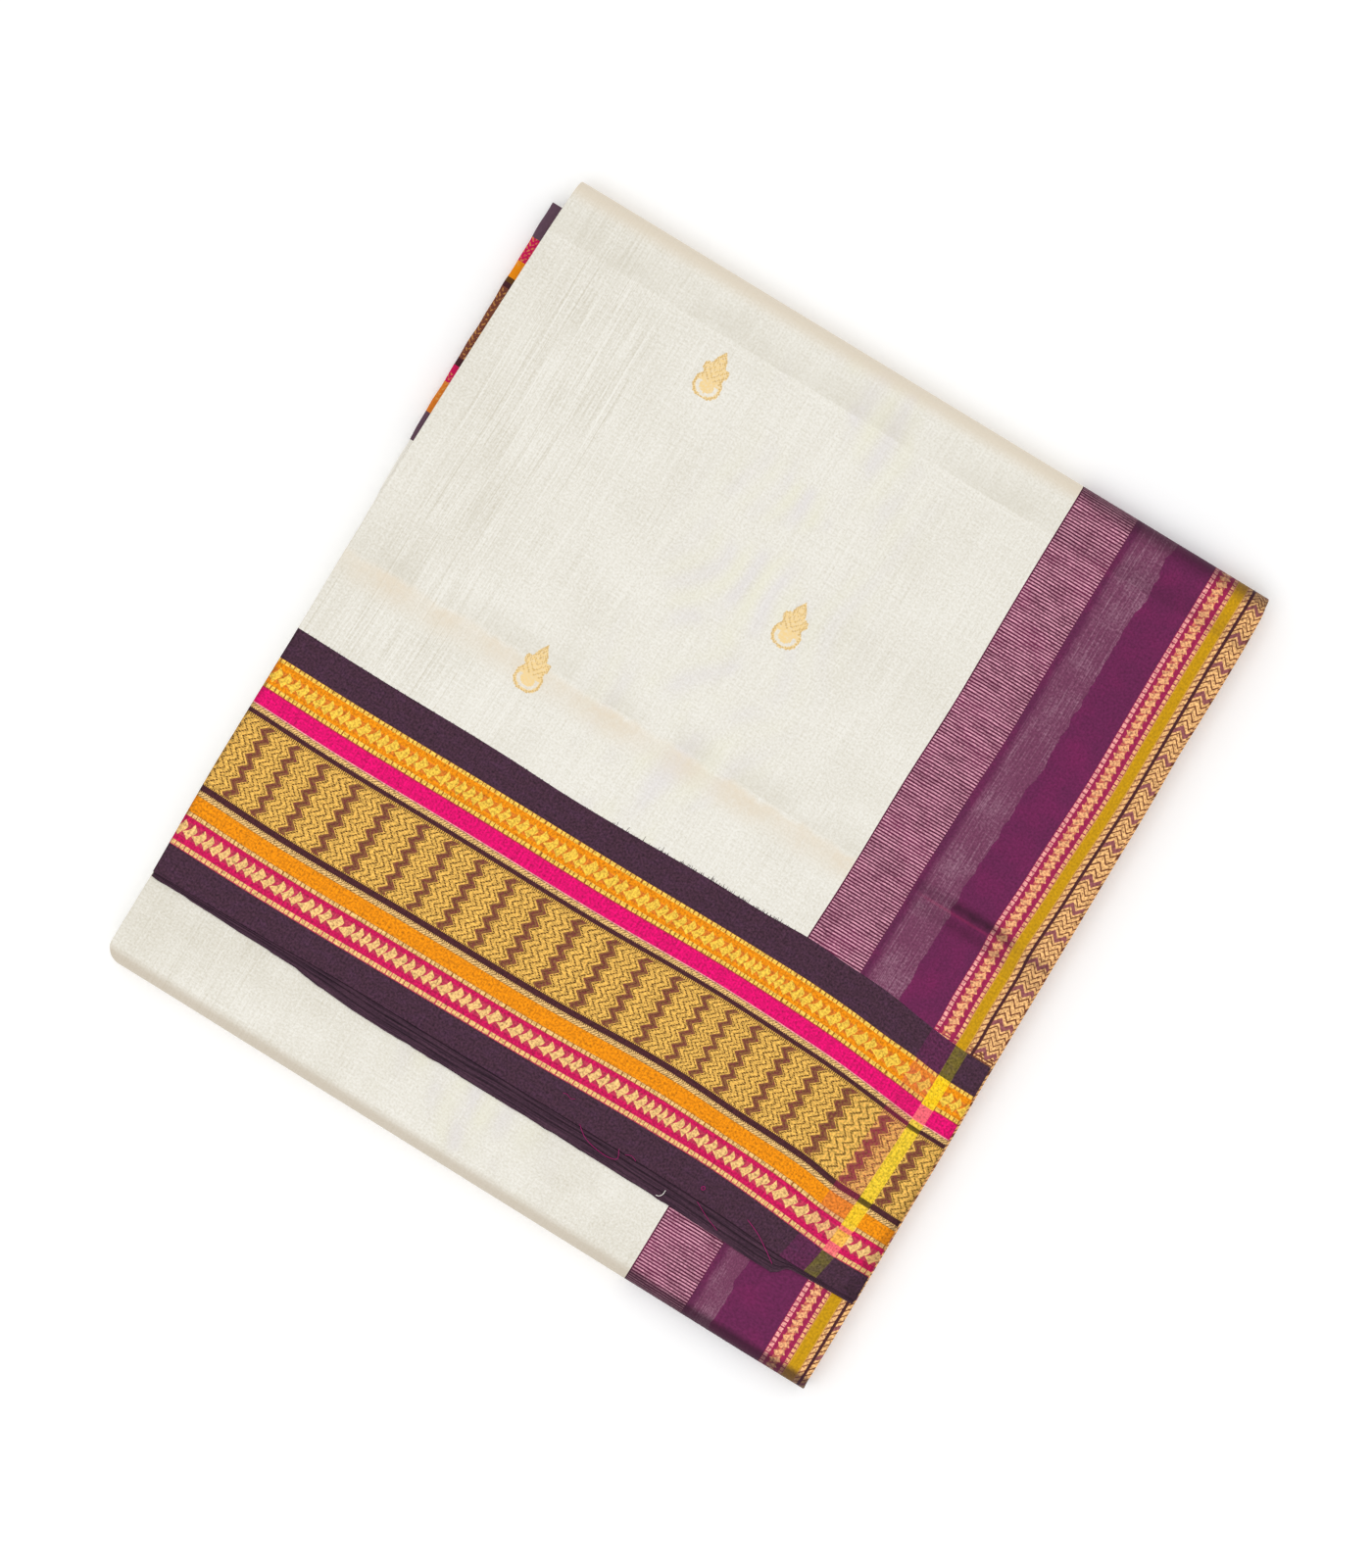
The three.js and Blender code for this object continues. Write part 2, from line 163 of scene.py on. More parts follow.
@dataclass(frozen=True)
class Stack:
    """Sizes of the folded stack and the way that its leaves lie."""

    length: float = float(CAD_BOX[1][1] - CAD_BOX[0][1]) / MM
    height: float = float(CAD_BOX[1][2] - CAD_BOX[0][2]) / MM
    leaf: float = 1.2
    gap: float = 0.3
    bulge: float = 0.3
    corner_radius: float = 7.5
    join_down: float = 228.0
    pallu_end: float = 348.5
    hem_down: float = 353.0
    underlap_down: float = 308.0
    sag: float = 0.9
    sag_start: float = 150.0
    sag_end: float = 178.0
    near_draw: float = 2.3
    near_draw_start: float = -150.0
    top_left: Points = ((0, -173.5), (15, -174.1), (50, -175.1), (126, -176.3), (186, -176.9),
                        (227, -176.6), (302, -176.4), (350, -175.1))
    top_seam: Points = ((0, 79.2), (50, 79.25), (78, 79.6), (105, 80.0), (147, 79.2), (202, 79.2),
                        (227, 78.6), (302, 78.6))
    top_right: Points = ((0, 172.7), (25, 173.4), (57, 173.3), (78, 173.0), (99, 173.5), (141, 173.7),
                         (202, 174.3), (227, 174.6), (250, 175.1), (302, 175.8), (350, 176.8))
    border_pull: Points = ((57, 0.0), (120, -0.15), (141, -0.4), (162, -0.8), (172, -1.35), (183, -1.8),
                           (193, -1.2), (204, -1.05), (214, -0.85), (225, -0.1))
    pull_reach: float = 66.0
    lower_drift: Points = ((0, 0.0), (27.4, 0.9), (33, 0.5), (37, -2.0), (41, -5.7), (48, -5.2),
                           (57, -2.0), (66, 0.37), (78.3, 0.4), (83.4, 1.0), (87, 0.7), (96, 0.6))
    lower_left: Points = ((300, -175.2), (391, -174.9))
    lower_seam: Points = ((300, 87.8), (391, 87.8))
    lower_right: Points = ((300, 176.6), (378, 177.4), (391, 177.3))
    under_left: Points = ((0, -173.5), (391, -174.9))
    under_seam: Points = ((0, 79.5), (391, 87.8))
    under_right: Points = ((0, 171.6), (391, 178.1))
    inner_left: Points = ((14, -179.5), (60, -179.3), (120, -179.1), (135, -178.8), (168, -177.8),
                          (200, -175.8), (290, -174.0))
    far_reach: float = 1.2
    near_reach: float = 1.4
    join_line: Points = ((-180, 226.8), (-139, 227.4), (-72, 227.4), (-38, 228.3), (-5, 227.9),
                         (29, 227.0), (62, 227.0), (79, 226.3), (96, 227.2), (122, 228.6),
                         (143, 231.4), (158, 232.8), (180, 233.2))
    end_line: Points = ((-180, 348.4), (-120, 347.6), (-89, 346.6), (-40, 346.3), (40, 346.2),
                        (84, 346.4), (112, 347.2), (134, 348.6), (180, 348.5))
    end_reach: float = 22.0
    hem_line: Points = ((-180, 350.3), (-131, 351.1), (-102, 352.0), (-89, 353.4), (-78, 354.1),
                        (-5, 354.6), (84, 355.2), (121, 356.2), (138, 356.5), (141.2, 356.0),
                        (144, 352.6), (151, 351.2), (162, 350.5), (180, 350.4))

    @property
    def half(self) -> float:
        """Half of the stack's length."""
        return self.length / 2

    @property
    def lower_top(self) -> float:
        """Height of the lower leaf's upper face."""
        return self.height - self.leaf - self.gap

    @property
    def far_radius(self) -> float:
        """Radius of the far fold, outside."""
        return self.height / 2

    @property
    def far_centre(self) -> float:
        """Place along the stack of the far fold's centre; soft cloth bellies out a little there."""
        return self.half - self.far_radius + self.far_reach

    @property
    def far_end(self) -> float:
        """Where the far fold ends and the flat leaves begin, down the stack."""
        return self.half - self.far_centre

    @property
    def near_end(self) -> float:
        """Where the flat leaves end and the near fold begins, down the stack."""
        return self.half - self.near_centre

    @property
    def near_centre(self) -> float:
        """Place along the stack of the near fold's centre, which bellies out too."""
        return self.near_radius - self.half - self.near_reach

    @property
    def near_radius(self) -> float:
        """Radius of the near fold, outside."""
        return self.lower_top / 2

    def corner_inset(self, y: Array) -> Array:
        """How far the left edge draws in at the near fold's rounded corner."""
        past = np.clip(self.corner_radius - self.half - self.near_reach - y, 0.0, self.corner_radius)
        return self.corner_radius - np.sqrt(np.maximum(self.corner_radius ** 2 - past ** 2, 0.0))

    def lay(self, x: Array, y: Array, z: Array, relief: "Relief") -> Array:
        """Move points of the ideal stack to where they lie in the real one.

        Args:
            x: Places across the stack.
            y: Places along it.
            z: Heights.
            relief: Creases and unevenness of the two outer faces.

        Returns:
            An array of points, with x, y and z in its last axis.
        """
        outwards = smooth_step((np.abs(x) - self.sag_start) / (self.sag_end - self.sag_start))
        lift = np.clip(z / self.height, 0.0, 1.0)
        down = self.half - y
        near = smooth_step((self.near_draw_start - y) / (self.near_draw_start + self.half))
        drawn = self.near_draw * near * np.clip((self.sag_start - x) / (2 * self.sag_start), 0.0, 1.0)
        height = z - self.sag * outwards * lift
        height = height + relief.top(x, down) * lift ** 3 + relief.under(x, down) * (1 - lift) ** 3
        return np.stack([x, y + drawn, height], axis=-1)


@dataclass(frozen=True)
class Relief:
    """Creases and slow unevenness of the stack's two outer faces."""

    top_creases: Tuple[Crease, ...] = (
        Crease(25.2, 12.0, 1.8, 0.26, ((-176, 0.2), (-120, 0.8), (-60, 1.0), (0, 0.8), (12, 0.3),
                                       (30, 1.0), (70, 1.0), (120, 0.7), (176, 0.3)),
               ((-170, -1.2), (-60, 0.3), (40, -0.4), (170, -1.8))),
        Crease(186.6, 14.0, 2.4, 0.44, ((-176, 0.9), (-110, 0.5), (-40, 1.0), (30, 0.9), (78, 0.7),
                                        (130, 1.0), (176, 0.8)),
               ((-176, 1.6), (-120, 0.2), (0, 0.0), (90, 0.4), (176, -6.0))),
        Crease(116.0, 20.0, 9.0, 0.14, ((-176, 1.0), (0, 0.6), (176, 1.0))),
        Crease(282.0, 16.0, 6.0, 0.12, ((-176, 0.5), (0, 1.0), (176, 0.6))),
        Crease(343.0, 3.0, 1.2, 0.16, ((-176, 0.0), (40, 0.1), (80, 1.0), (130, 1.0), (150, 0.2),
                                       (176, 0.0))),
        Crease(374.0, 8.0, 5.0, 0.12, ((-176, 1.0), (0, 0.4), (176, 0.8))),
    )
    under_creases: Tuple[Crease, ...] = (
        Crease(62.0, 12.0, 3.0, 0.30, ((-176, 0.4), (-40, 1.0), (60, 0.6), (176, 0.9))),
        Crease(204.0, 14.0, 3.0, 0.45, ((-176, 0.9), (-60, 0.5), (40, 1.0), (176, 0.7))),
        Crease(318.0, 12.0, 3.0, 0.25, ((-176, 0.7), (0, 1.0), (176, 0.4))),
    )
    wave: float = 0.10

    def unevenness(self, x: Array, down: Array) -> Array:
        """Slow waves of pressed cloth, between -1 and 1.

        Args:
            x: Places across the stack.
            down: Places down the stack.

        Returns:
            The wave at each place.
        """
        first = np.sin(x / 17.0 + 0.9 * np.sin(down / 61.0))
        second = np.sin(down / 29.0 + 1.3 + 0.8 * np.sin(x / 43.0))
        third = np.sin((x + 0.6 * down) / 23.0 + 2.1)
        return (first + second + third) / 3

    def top(self, x: Array, down: Array) -> Array:
        """Height that the upper face gains at places on the stack."""
        creases = sum(crease.relief(x, down) for crease in self.top_creases)
        return creases + self.wave * self.unevenness(x, down) - self.wave

    def under(self, x: Array, down: Array) -> Array:
        """Height that the lower face gains; it never sinks into what it rests on."""
        creases = sum(crease.relief(x, down) for crease in self.under_creases)
        return np.maximum(creases, 0.0) + self.wave * (1 + self.unevenness(x, down))

    def stations(self, start: float, stop: float, step: float = 3.0) -> Array:
        """Stations down the stack, closer together where a crease is short.

        Args:
            start: The first station.
            stop: The last one.
            step: Distance between the others.

        Returns:
            The stations, in order.
        """
        short_drop, lead, trail, fine_step, clearance = 4.0, 3.5, 2.5, 0.7, 0.4
        places = set(np.round(np.linspace(start, stop, max(2, round((stop - start) / step) + 1)), 3))
        for crease in (crease for crease in self.top_creases if crease.drop < short_drop):
            for place in np.arange(crease.down - lead, crease.down + trail * crease.drop + 1, fine_step):
                if start + clearance < place < stop - clearance:
                    places.add(round(float(place), 3))
        return np.array(sorted(places))


@dataclass
class Path:
    """Stations of a stretch of cloth, in order along it.

    Attributes:
        y: Place of the outer face along the stack.
        z: Its height.
        ny: Its outward normal along the stack.
        nz: Its outward normal upwards.
        along: Distance along the warp.
    """

    y: Array
    z: Array
    ny: Array
    nz: Array
    along: Array

    @staticmethod
    def chain(parts: Sequence[Array], start: float, sign: float) -> "Path":
        """Join stretches of stations and measure the length along them.

        Args:
            parts: Arrays with a row of y, z, ny and nz for each station.
            start: Distance along the warp at the first station.
            sign: 1 where that distance grows from there, or -1.

        Returns:
            The whole path, without doubled stations.
        """
        rows = np.concatenate(parts)
        steps = np.hypot(np.diff(rows[:, 0]), np.diff(rows[:, 1]))
        keep = np.concatenate([[True], steps > 1e-4])
        rows = rows[keep]
        steps = np.hypot(np.diff(rows[:, 0]), np.diff(rows[:, 1]))
        along = start + sign * np.concatenate([[0.0], np.cumsum(steps)])
        return Path(rows[:, 0], rows[:, 1], rows[:, 2], rows[:, 3], along)


def flat_run(stack: Stack, downs: Array, z: Union[float, Array], up: float) -> Array:
    """Stations of a flat stretch whose outer face looks up (1) or down (-1)."""
    downs = np.asarray(downs, dtype=float)
    full = np.ones_like(downs)
    return np.stack([stack.half - downs, z * full, 0 * full, up * full], axis=-1)


def fold_run(centre_y: float, centre_z: float, radius: Union[float, Array], start: float,
             stop: float, steps: int) -> Array:
    """Stations round a fold; angles in radians are measured from +Y at its centre."""
    angles = np.linspace(start, stop, steps + 1)
    cos, sin = np.cos(angles), np.sin(angles)
    return np.stack([centre_y + radius * cos, centre_z + radius * sin, cos, sin], axis=-1)


# -------- meshes


@dataclass(frozen=True)
class FoldedEdge:
    """An edge where the plies of a leaf turn back: one small round for each ply."""

    plies: int = 3
    proud: Tuple[float, ...] = (0.0, 0.25, 0.1, 0.3)

    def profile(self, thickness: float) -> List[Tuple[float, float]]:
        """Pairs of how far out and how deep a point of the edge lies, from the outer face down.

        Args:
            thickness: Thickness of the leaf.

        Returns:
            The pairs.
        """
        radius = thickness / (2 * self.plies)
        points = []
        for ply in range(self.plies):
            middle = (2 * ply + 1) * radius
            reach = self.proud[ply % len(self.proud)]
            for angle in (-60.0, 0.0, 60.0):
                turn = math.radians(angle)
                points.append((reach + radius * math.cos(turn), middle + radius * math.sin(turn)))
            if ply + 1 < self.plies:
                points.append((-0.12, middle + radius))
        return points


class Shell:
    """A closed thin shell lofted through rings, one ring for each station of a path."""

    inner_step = 6
    thinnest = 0.2
    sharp_angle = 50.0

    def __init__(self, name: str, stack: Stack, relief: Relief, path: Path) -> None:
        """Take the path that the cloth follows.

        Args:
            name: The object's name.
            stack: The stack it lies in.
            relief: The faces' relief.
            path: The stations.
        """
        self.name = name
        self.stack = stack
        self.relief = relief
        self.path = path

    def build(self, left: Array, right: Array, columns: int, thickness: float,
              left_edge: Optional[FoldedEdge], right_edge: Optional[FoldedEdge],
              weave: WeaveRule, bend: Optional[PlaceRule] = None, top_inset: Optional[PlaceRule] = None,
              rounded: Tuple[float, float] = (0.0, 0.0)) -> Piece:
        """Make the mesh.

        Args:
            left: The left edge's x at each station.
            right: The right edge's x at each station.
            columns: Number of columns on the outer face, a multiple of the inner step plus one.
            thickness: Thickness of the leaf.
            left_edge: Its folded edge on the left, or None where it meets another web.
            right_edge: The same on the right.
            weave: Gives across and along for arrays of x, down and along.
            bend: Gives how far stations shift down the stack, from x and down.
            top_inset: Gives how far the outer face is set in, from x and down.
            rounded: Radius of the rounded start and of the rounded end.

        Returns:
            The object, in metres.
        """
        path, stack = self.path, self.stack
        shares = np.linspace(0.0, 1.0, columns)
        outer_x = left[:, None] + (right - left)[:, None] * shares[None, :]
        inner_picks = np.arange(columns - 1, -1, -self.inner_step)
        right_profile = right_edge.profile(thickness) if right_edge else []
        left_profile = left_edge.profile(thickness)[::-1] if left_edge else []
        right_x = [right + reach for reach, _ in right_profile]
        left_x = [left - reach for reach, _ in left_profile]
        x = np.column_stack([outer_x, *right_x, outer_x[:, inner_picks], *left_x])
        depth = np.concatenate([np.zeros(columns), [deep for _, deep in right_profile],
                                np.full(len(inner_picks), thickness), [deep for _, deep in left_profile]])
        depth = np.tile(depth, (len(path.y), 1))
        down = stack.half - path.y[:, None] + 0 * x
        shift = bend(x, down) if bend else 0 * x
        if top_inset:
            inset = top_inset(x, down + shift)
            depth = inset + depth * (thickness - inset) / thickness
        depth = self._round_ends(depth, thickness, rounded)
        y = path.y[:, None] - path.ny[:, None] * depth - shift
        z = path.z[:, None] - path.nz[:, None] * depth
        points = stack.lay(x, y, z, self.relief)
        sign = 1.0 if path.along[-1] >= path.along[0] else -1.0
        across, along = weave(x, down + shift, path.along[:, None] + sign * shift)
        return self._mesh(points, np.stack([across, along], axis=-1), columns, len(right_profile),
                          len(inner_picks))

    def _round_ends(self, depth: Array, thickness: float, rounded: Tuple[float, float]) -> Array:
        """Thin the shell towards an end that is rounded.

        Args:
            depth: How deep each point lies at each station.
            thickness: Thickness of the leaf.
            rounded: Radius of the rounded start and end.

        Returns:
            The depths, thinned.
        """
        travel = np.abs(self.path.along - self.path.along[0])
        share = np.ones(len(travel))
        for radius, distance in zip(rounded, (travel, travel[-1] - travel)):
            if radius > 0:
                near = np.clip(1 - distance / radius, 0.0, 1.0)
                share = np.minimum(share, np.sqrt(np.maximum(1 - near ** 2, self.thinnest ** 2)))
        middle = thickness / 2
        return middle + (depth - middle) * share[:, None]

    def _mesh(self, points: Array, weave: Array, columns: int, right_count: int,
              inner_count: int) -> Piece:
        """Join the rings with faces, close both ends and store the weave's coordinates.

        Args:
            points: A ring of points for each station.
            weave: Across and along of each point.
            columns: Number of columns on the outer face.
            right_count: Points of the right edge.
            inner_count: Points of the inner face.

        Returns:
            The object.
        """
        rows, size = points.shape[:2]
        spot = np.arange(size)
        after = (spot + 1) % size
        base = (np.arange(rows - 1) * size)[:, None]
        quads = np.stack([base + spot, base + after, base + size + after, base + size + spot], axis=-1)
        faces = quads.reshape(-1, 4).tolist()
        for row, flip in ((0, False), (rows - 1, True)):
            faces += [[row * size + place for place in (face[::-1] if flip else face)]
                      for face in self._cap(size, columns, right_count, inner_count)]
        if self._inside_out(points, faces):
            faces = [face[::-1] for face in faces]
        mesh = bpy.data.meshes.new(self.name)
        mesh.from_pydata((points.reshape(-1, 3) * MM).tolist(), [], faces)
        layer = mesh.uv_layers.new(name="weave")
        flat_weave = weave.reshape(-1, 2)
        corners = np.zeros(len(mesh.loops), dtype=np.int32)
        mesh.loops.foreach_get("vertex_index", corners)
        layer.data.foreach_set("uv", flat_weave[corners].astype(np.float32).ravel())
        mesh.polygons.foreach_set("use_smooth", [True] * len(mesh.polygons))
        mesh.set_sharp_from_angle(angle=math.radians(self.sharp_angle))
        mesh.update()
        return add_object(self.name, mesh)

    def _cap(self, size: int, columns: int, right_count: int, inner_count: int) -> List[List[int]]:
        """Faces over one end of the loft, as places in its ring.

        Args:
            size: Number of points in the ring.
            columns: Those on the outer face.
            right_count: Those of the right edge.
            inner_count: Those of the inner face.

        Returns:
            The faces.
        """
        first_inner = columns + right_count
        inner = [first_inner + order for order in range(inner_count)][::-1]
        faces = []
        for order in range(inner_count - 1):
            start = order * self.inner_step
            top = list(range(start, start + self.inner_step + 1))
            faces.append([inner[order], inner[order + 1], *top[::-1]])
        if right_count:
            faces.append([first_inner, *range(first_inner - 1, columns - 2, -1)])
        left_places = list(range(first_inner + inner_count, size))
        if left_places:
            faces.append([0, *left_places[::-1], inner[0]])
        return faces

    @staticmethod
    def _inside_out(points: Array, faces: List[List[int]]) -> bool:
        """Whether the faces point inwards, from the volume that they enclose.

        Args:
            points: The rings of points.
            faces: The faces.

        Returns:
            True where they point inwards.
        """
        flat = points.reshape(-1, 3)
        quads = np.array([face for face in faces if len(face) == 4])
        a, b, c, d = (flat[quads[:, corner]] for corner in range(4))
        volume = np.einsum("ij,ij->i", a, np.cross(b, c)) + np.einsum("ij,ij->i", a, np.cross(c, d))
        return float(volume.sum()) < 0


class Strands:
    """Many short threads joined into one mesh of thin tubes."""

    sides = 6
    tip = 0.45

    def __init__(self, name: str) -> None:
        """Start with no thread.

        Args:
            name: The object's name.
        """
        self.name = name
        self.points: List[List[float]] = []
        self.faces: List[List[int]] = []
        self.shade: List[float] = []

    def add(self, route: Array, radius: float, shade: float) -> None:
        """Add a thread.

        Args:
            route: Its points, an array of x, y and z.
            radius: Radius of its middle; both ends taper.
            shade: Which yarn it is, from 0 to 1, for its material.
        """
        tangents = np.gradient(route, axis=0)
        tangents /= np.linalg.norm(tangents, axis=1, keepdims=True)
        side = np.cross(tangents, np.array([0.0, 0.0, 1.0]) + 0 * tangents)
        side /= np.maximum(np.linalg.norm(side, axis=1, keepdims=True), 1e-6)
        other = np.cross(side, tangents)
        base = len(self.points)
        count = len(route)
        for order in range(count):
            taper = radius * (self.tip if order in (0, count - 1) else 1.0)
            for corner in range(self.sides):
                turn = 2 * math.pi * corner / self.sides
                offset = math.cos(turn) * side[order] + math.sin(turn) * other[order]
                self.points.append(list(route[order] + taper * offset))
                self.shade.append(shade)
        for order in range(count - 1):
            for corner in range(self.sides):
                low = base + order * self.sides
                turned = (corner + 1) % self.sides
                self.faces.append([low + corner, low + self.sides + corner,
                                   low + self.sides + turned, low + turned])
        self.faces.append([base + corner for corner in range(self.sides)])
        last = base + (count - 1) * self.sides
        self.faces.append([last + corner for corner in reversed(range(self.sides))])

    def build(self) -> Piece:
        """Make the object, in metres.

        Returns:
            The object.
        """
        mesh = bpy.data.meshes.new(self.name)
        mesh.from_pydata((np.array(self.points) * MM).tolist(), [], self.faces)
        layer = mesh.uv_layers.new(name="weave")
        for loop in mesh.loops:
            point = self.points[loop.vertex_index]
            layer.data[loop.index].uv = (self.shade[loop.vertex_index] * 10.0, point[1])
        mesh.polygons.foreach_set("use_smooth", [True] * len(mesh.polygons))
        mesh.update()
        return add_object(self.name, mesh)


# -------- shader maths

Number = Union["Value", float]


def operator_for(operation: str, reflected: bool = False) -> Callable[["Value", Number], "Value"]:
    """Make an operator that adds a Math node.

    Args:
        operation: The node's operation.
        reflected: Whether the other operand comes first.

    Returns:
        The method.
    """
    def apply(self: "Value", other: Number) -> "Value":
        """Join both operands with the operation."""
        operands = (other, self) if reflected else (self, other)
        return self.shader.math(operation, *operands)
    return apply


class Value:
    """A node socket whose operators add Math nodes; & and | join masks by minimum and maximum."""

    __add__ = __radd__ = operator_for("ADD")
    __sub__ = operator_for("SUBTRACT")
    __rsub__ = operator_for("SUBTRACT", reflected=True)
    __mul__ = __rmul__ = operator_for("MULTIPLY")
    __truediv__ = operator_for("DIVIDE")
    __rtruediv__ = operator_for("DIVIDE", reflected=True)
    __mod__ = operator_for("FLOORED_MODULO")
    __pow__ = operator_for("POWER")
    __lt__ = operator_for("LESS_THAN")
    __gt__ = operator_for("GREATER_THAN")
    __and__ = operator_for("MINIMUM")
    __or__ = operator_for("MAXIMUM")

    def __init__(self, shader: "Shader", socket: bpy.types.NodeSocket) -> None:
        """Wrap a socket of a shader's tree."""
        self.shader = shader
        self.socket = socket

    def __abs__(self) -> "Value":
        """Distance from zero."""
        return self.shader.math("ABSOLUTE", self)


class Shader:
    """A material's node tree, with its surface shader."""

    def __init__(self, name: str) -> None:
        """Start a material with a surface shader and an output.

        Args:
            name: Its name.
        """
        self.material = bpy.data.materials.new(name)
        self.material.use_nodes = True
        self.tree = self.material.node_tree
        self.tree.nodes.clear()
        self.surface = self.tree.nodes.new("ShaderNodeBsdfPrincipled")
        output = self.tree.nodes.new("ShaderNodeOutputMaterial")
        self.tree.links.new(self.surface.outputs["BSDF"], output.inputs["Surface"])

    def node(self, kind: str, settings: Dict[str, object], sockets: Dict[object, object]) -> bpy.types.Node:
        """Add a node.

        Args:
            kind: Its type.
            settings: Its properties, set first; "stops" are a ramp's pairs of place and colour.
            sockets: Values or links of its inputs, by name or number.

        Returns:
            The node.
        """
        made = self.tree.nodes.new(kind)
        for key, value in settings.items():
            if key == "stops":
                self._set_stops(made.color_ramp, value)
            elif key == "interpolation":
                made.color_ramp.interpolation = value
            else:
                setattr(made, key, value)
        for key, value in sockets.items():
            self._feed(made.inputs[key], value)
        return made

    def take(self, kind: str, settings: Dict[str, object], sockets: Dict[object, object],
             output: Union[int, str] = 0) -> Value:
        """Add a node and take one of its outputs.

        Args:
            kind: Its type.
            settings: Its properties.
            sockets: Values or links of its inputs, by name or number.
            output: The output's name or number.

        Returns:
            The output.
        """
        return Value(self, self.node(kind, settings, sockets).outputs[output])

    @staticmethod
    def _set_stops(ramp: bpy.types.ColorRamp, stops: Sequence[Tuple[float, Colour]]) -> None:
        """Give a ramp its stops.

        Args:
            ramp: The ramp.
            stops: Pairs of place and colour.
        """
        while len(ramp.elements) > 1:
            ramp.elements.remove(ramp.elements[-1])
        for order, (place, colour) in enumerate(stops):
            stop = ramp.elements[0] if order == 0 else ramp.elements.new(place)
            stop.position = place
            stop.color = (*colour, 1.0)

    def _feed(self, socket: bpy.types.NodeSocket, value: object) -> None:
        """Link a value to an input, or set it there.

        Args:
            socket: The input.
            value: A Value to link, or a number, colour or yarn to set.
        """
        if isinstance(value, Yarn):
            value = value.value
        if isinstance(value, Value):
            self.tree.links.new(value.socket, socket)
        elif isinstance(value, tuple) and socket.type == "RGBA":
            socket.default_value = (*value, 1.0)
        else:
            socket.default_value = value

    def math(self, operation: str, *values: Number) -> Value:
        """Add a Math node on up to three values."""
        return self.take("ShaderNodeMath", {"operation": operation}, dict(enumerate(values)))

    def clamp(self, value: Number) -> Value:
        """Hold a value between 0 and 1."""
        return self.take("ShaderNodeClamp", {}, {"Value": value})

    def mix(self, share: Number, first: object, second: object) -> Value:
        """Mix two colours; a share of 1 gives the second."""
        settings = {"data_type": "RGBA"}
        return self.take("ShaderNodeMix", settings, {0: share, 6: first, 7: second}, 2)

    def tint(self, share: Number, colour: object, factor: object) -> Value:
        """Multiply a colour by another, as far as the share says."""
        settings = {"data_type": "RGBA", "blend_type": "MULTIPLY"}
        return self.take("ShaderNodeMix", settings, {0: share, 6: colour, 7: factor}, 2)

    def shade(self, colour: Value, brightness: Number) -> Value:
        """Scale a colour's brightness."""
        return self.take("ShaderNodeHueSaturation", {}, {"Color": colour, "Value": brightness})

    def vector(self, x: Number, y: Number, z: Number) -> Value:
        """Join three values into a vector."""
        return self.take("ShaderNodeCombineXYZ", {}, {0: x, 1: y, 2: z})

    def noise(self, x: Number, y: Number, detail: float, seed: float = 0.0) -> Value:
        """Soft noise between 0 and 1 at a place in the weave."""
        sockets = {"Vector": self.vector(x, y, seed), "Scale": 1.0, "Detail": detail}
        return self.take("ShaderNodeTexNoise", {}, sockets, "Fac")

    def bell(self, value: Value, middle: float, reach: float) -> Value:
        """1 at the middle, easing to 0 at the reach on both sides of it."""
        return self.smooth(abs(value - middle), reach, 0.0)

    def hump(self, value: Value, start: float, crest: float, drop: float, stop: float) -> Value:
        """Ease up from start to crest, and down again from drop to stop."""
        return self.smooth(value, start, crest) * self.smooth(value, stop, drop)

    def ramp(self, place: Value, stops: Sequence[Tuple[float, Colour]], kind: str = "CONSTANT") -> Value:
        """Look a colour up in a row of stops."""
        settings = {"interpolation": kind, "stops": stops}
        return self.take("ShaderNodeValToRGB", settings, {"Fac": place}, "Color")

    def smooth(self, value: Value, low: float, high: float) -> Value:
        """Ease from 0 to 1 between two values, or from 1 to 0 where low is the higher one.

        Args:
            value: The value to ease.
            low: Where it gives 0.
            high: Where it gives 1.

        Returns:
            The eased value.
        """
        settings = {"interpolation_type": "SMOOTHSTEP"}
        ends = {1: low, 2: high, 3: 0.0, 4: 1.0} if low < high else {1: high, 2: low, 3: 1.0, 4: 0.0}
        return self.take("ShaderNodeMapRange", settings, {0: value, **ends})

    def bump(self, height: Value, strength: float, distance: float) -> Value:
        """Turn a height into a normal."""
        sockets = {"Height": height, "Strength": strength, "Distance": distance}
        return self.take("ShaderNodeBump", {}, sockets, "Normal")

    def finish(self, constants: Dict[str, object], links: Dict[str, Value]) -> Material:
        """Set the surface shader's sockets and return the material.

        Args:
            constants: Numbers and colours by socket.
            links: Values by socket.

        Returns:
            The material.
        """
        for sockets in (constants, links):
            for key, value in sockets.items():
                self._feed(self.surface.inputs[key], value)
        return self.material


# -------- yarns


def linear(red: int, green: int, blue: int) -> Colour:
    """Turn a dyer's 0 to 255 colour into a linear one.

    Args:
        red: Its red.
        green: Its green.
        blue: Its blue.

    Returns:
        The linear colour.
    """
    def channel(value: float) -> float:
        """Turn one channel."""
        share = value / 255
        return share / 12.92 if share <= 0.04045 else ((share + 0.055) / 1.055) ** 2.4
    return channel(red), channel(green), channel(blue)


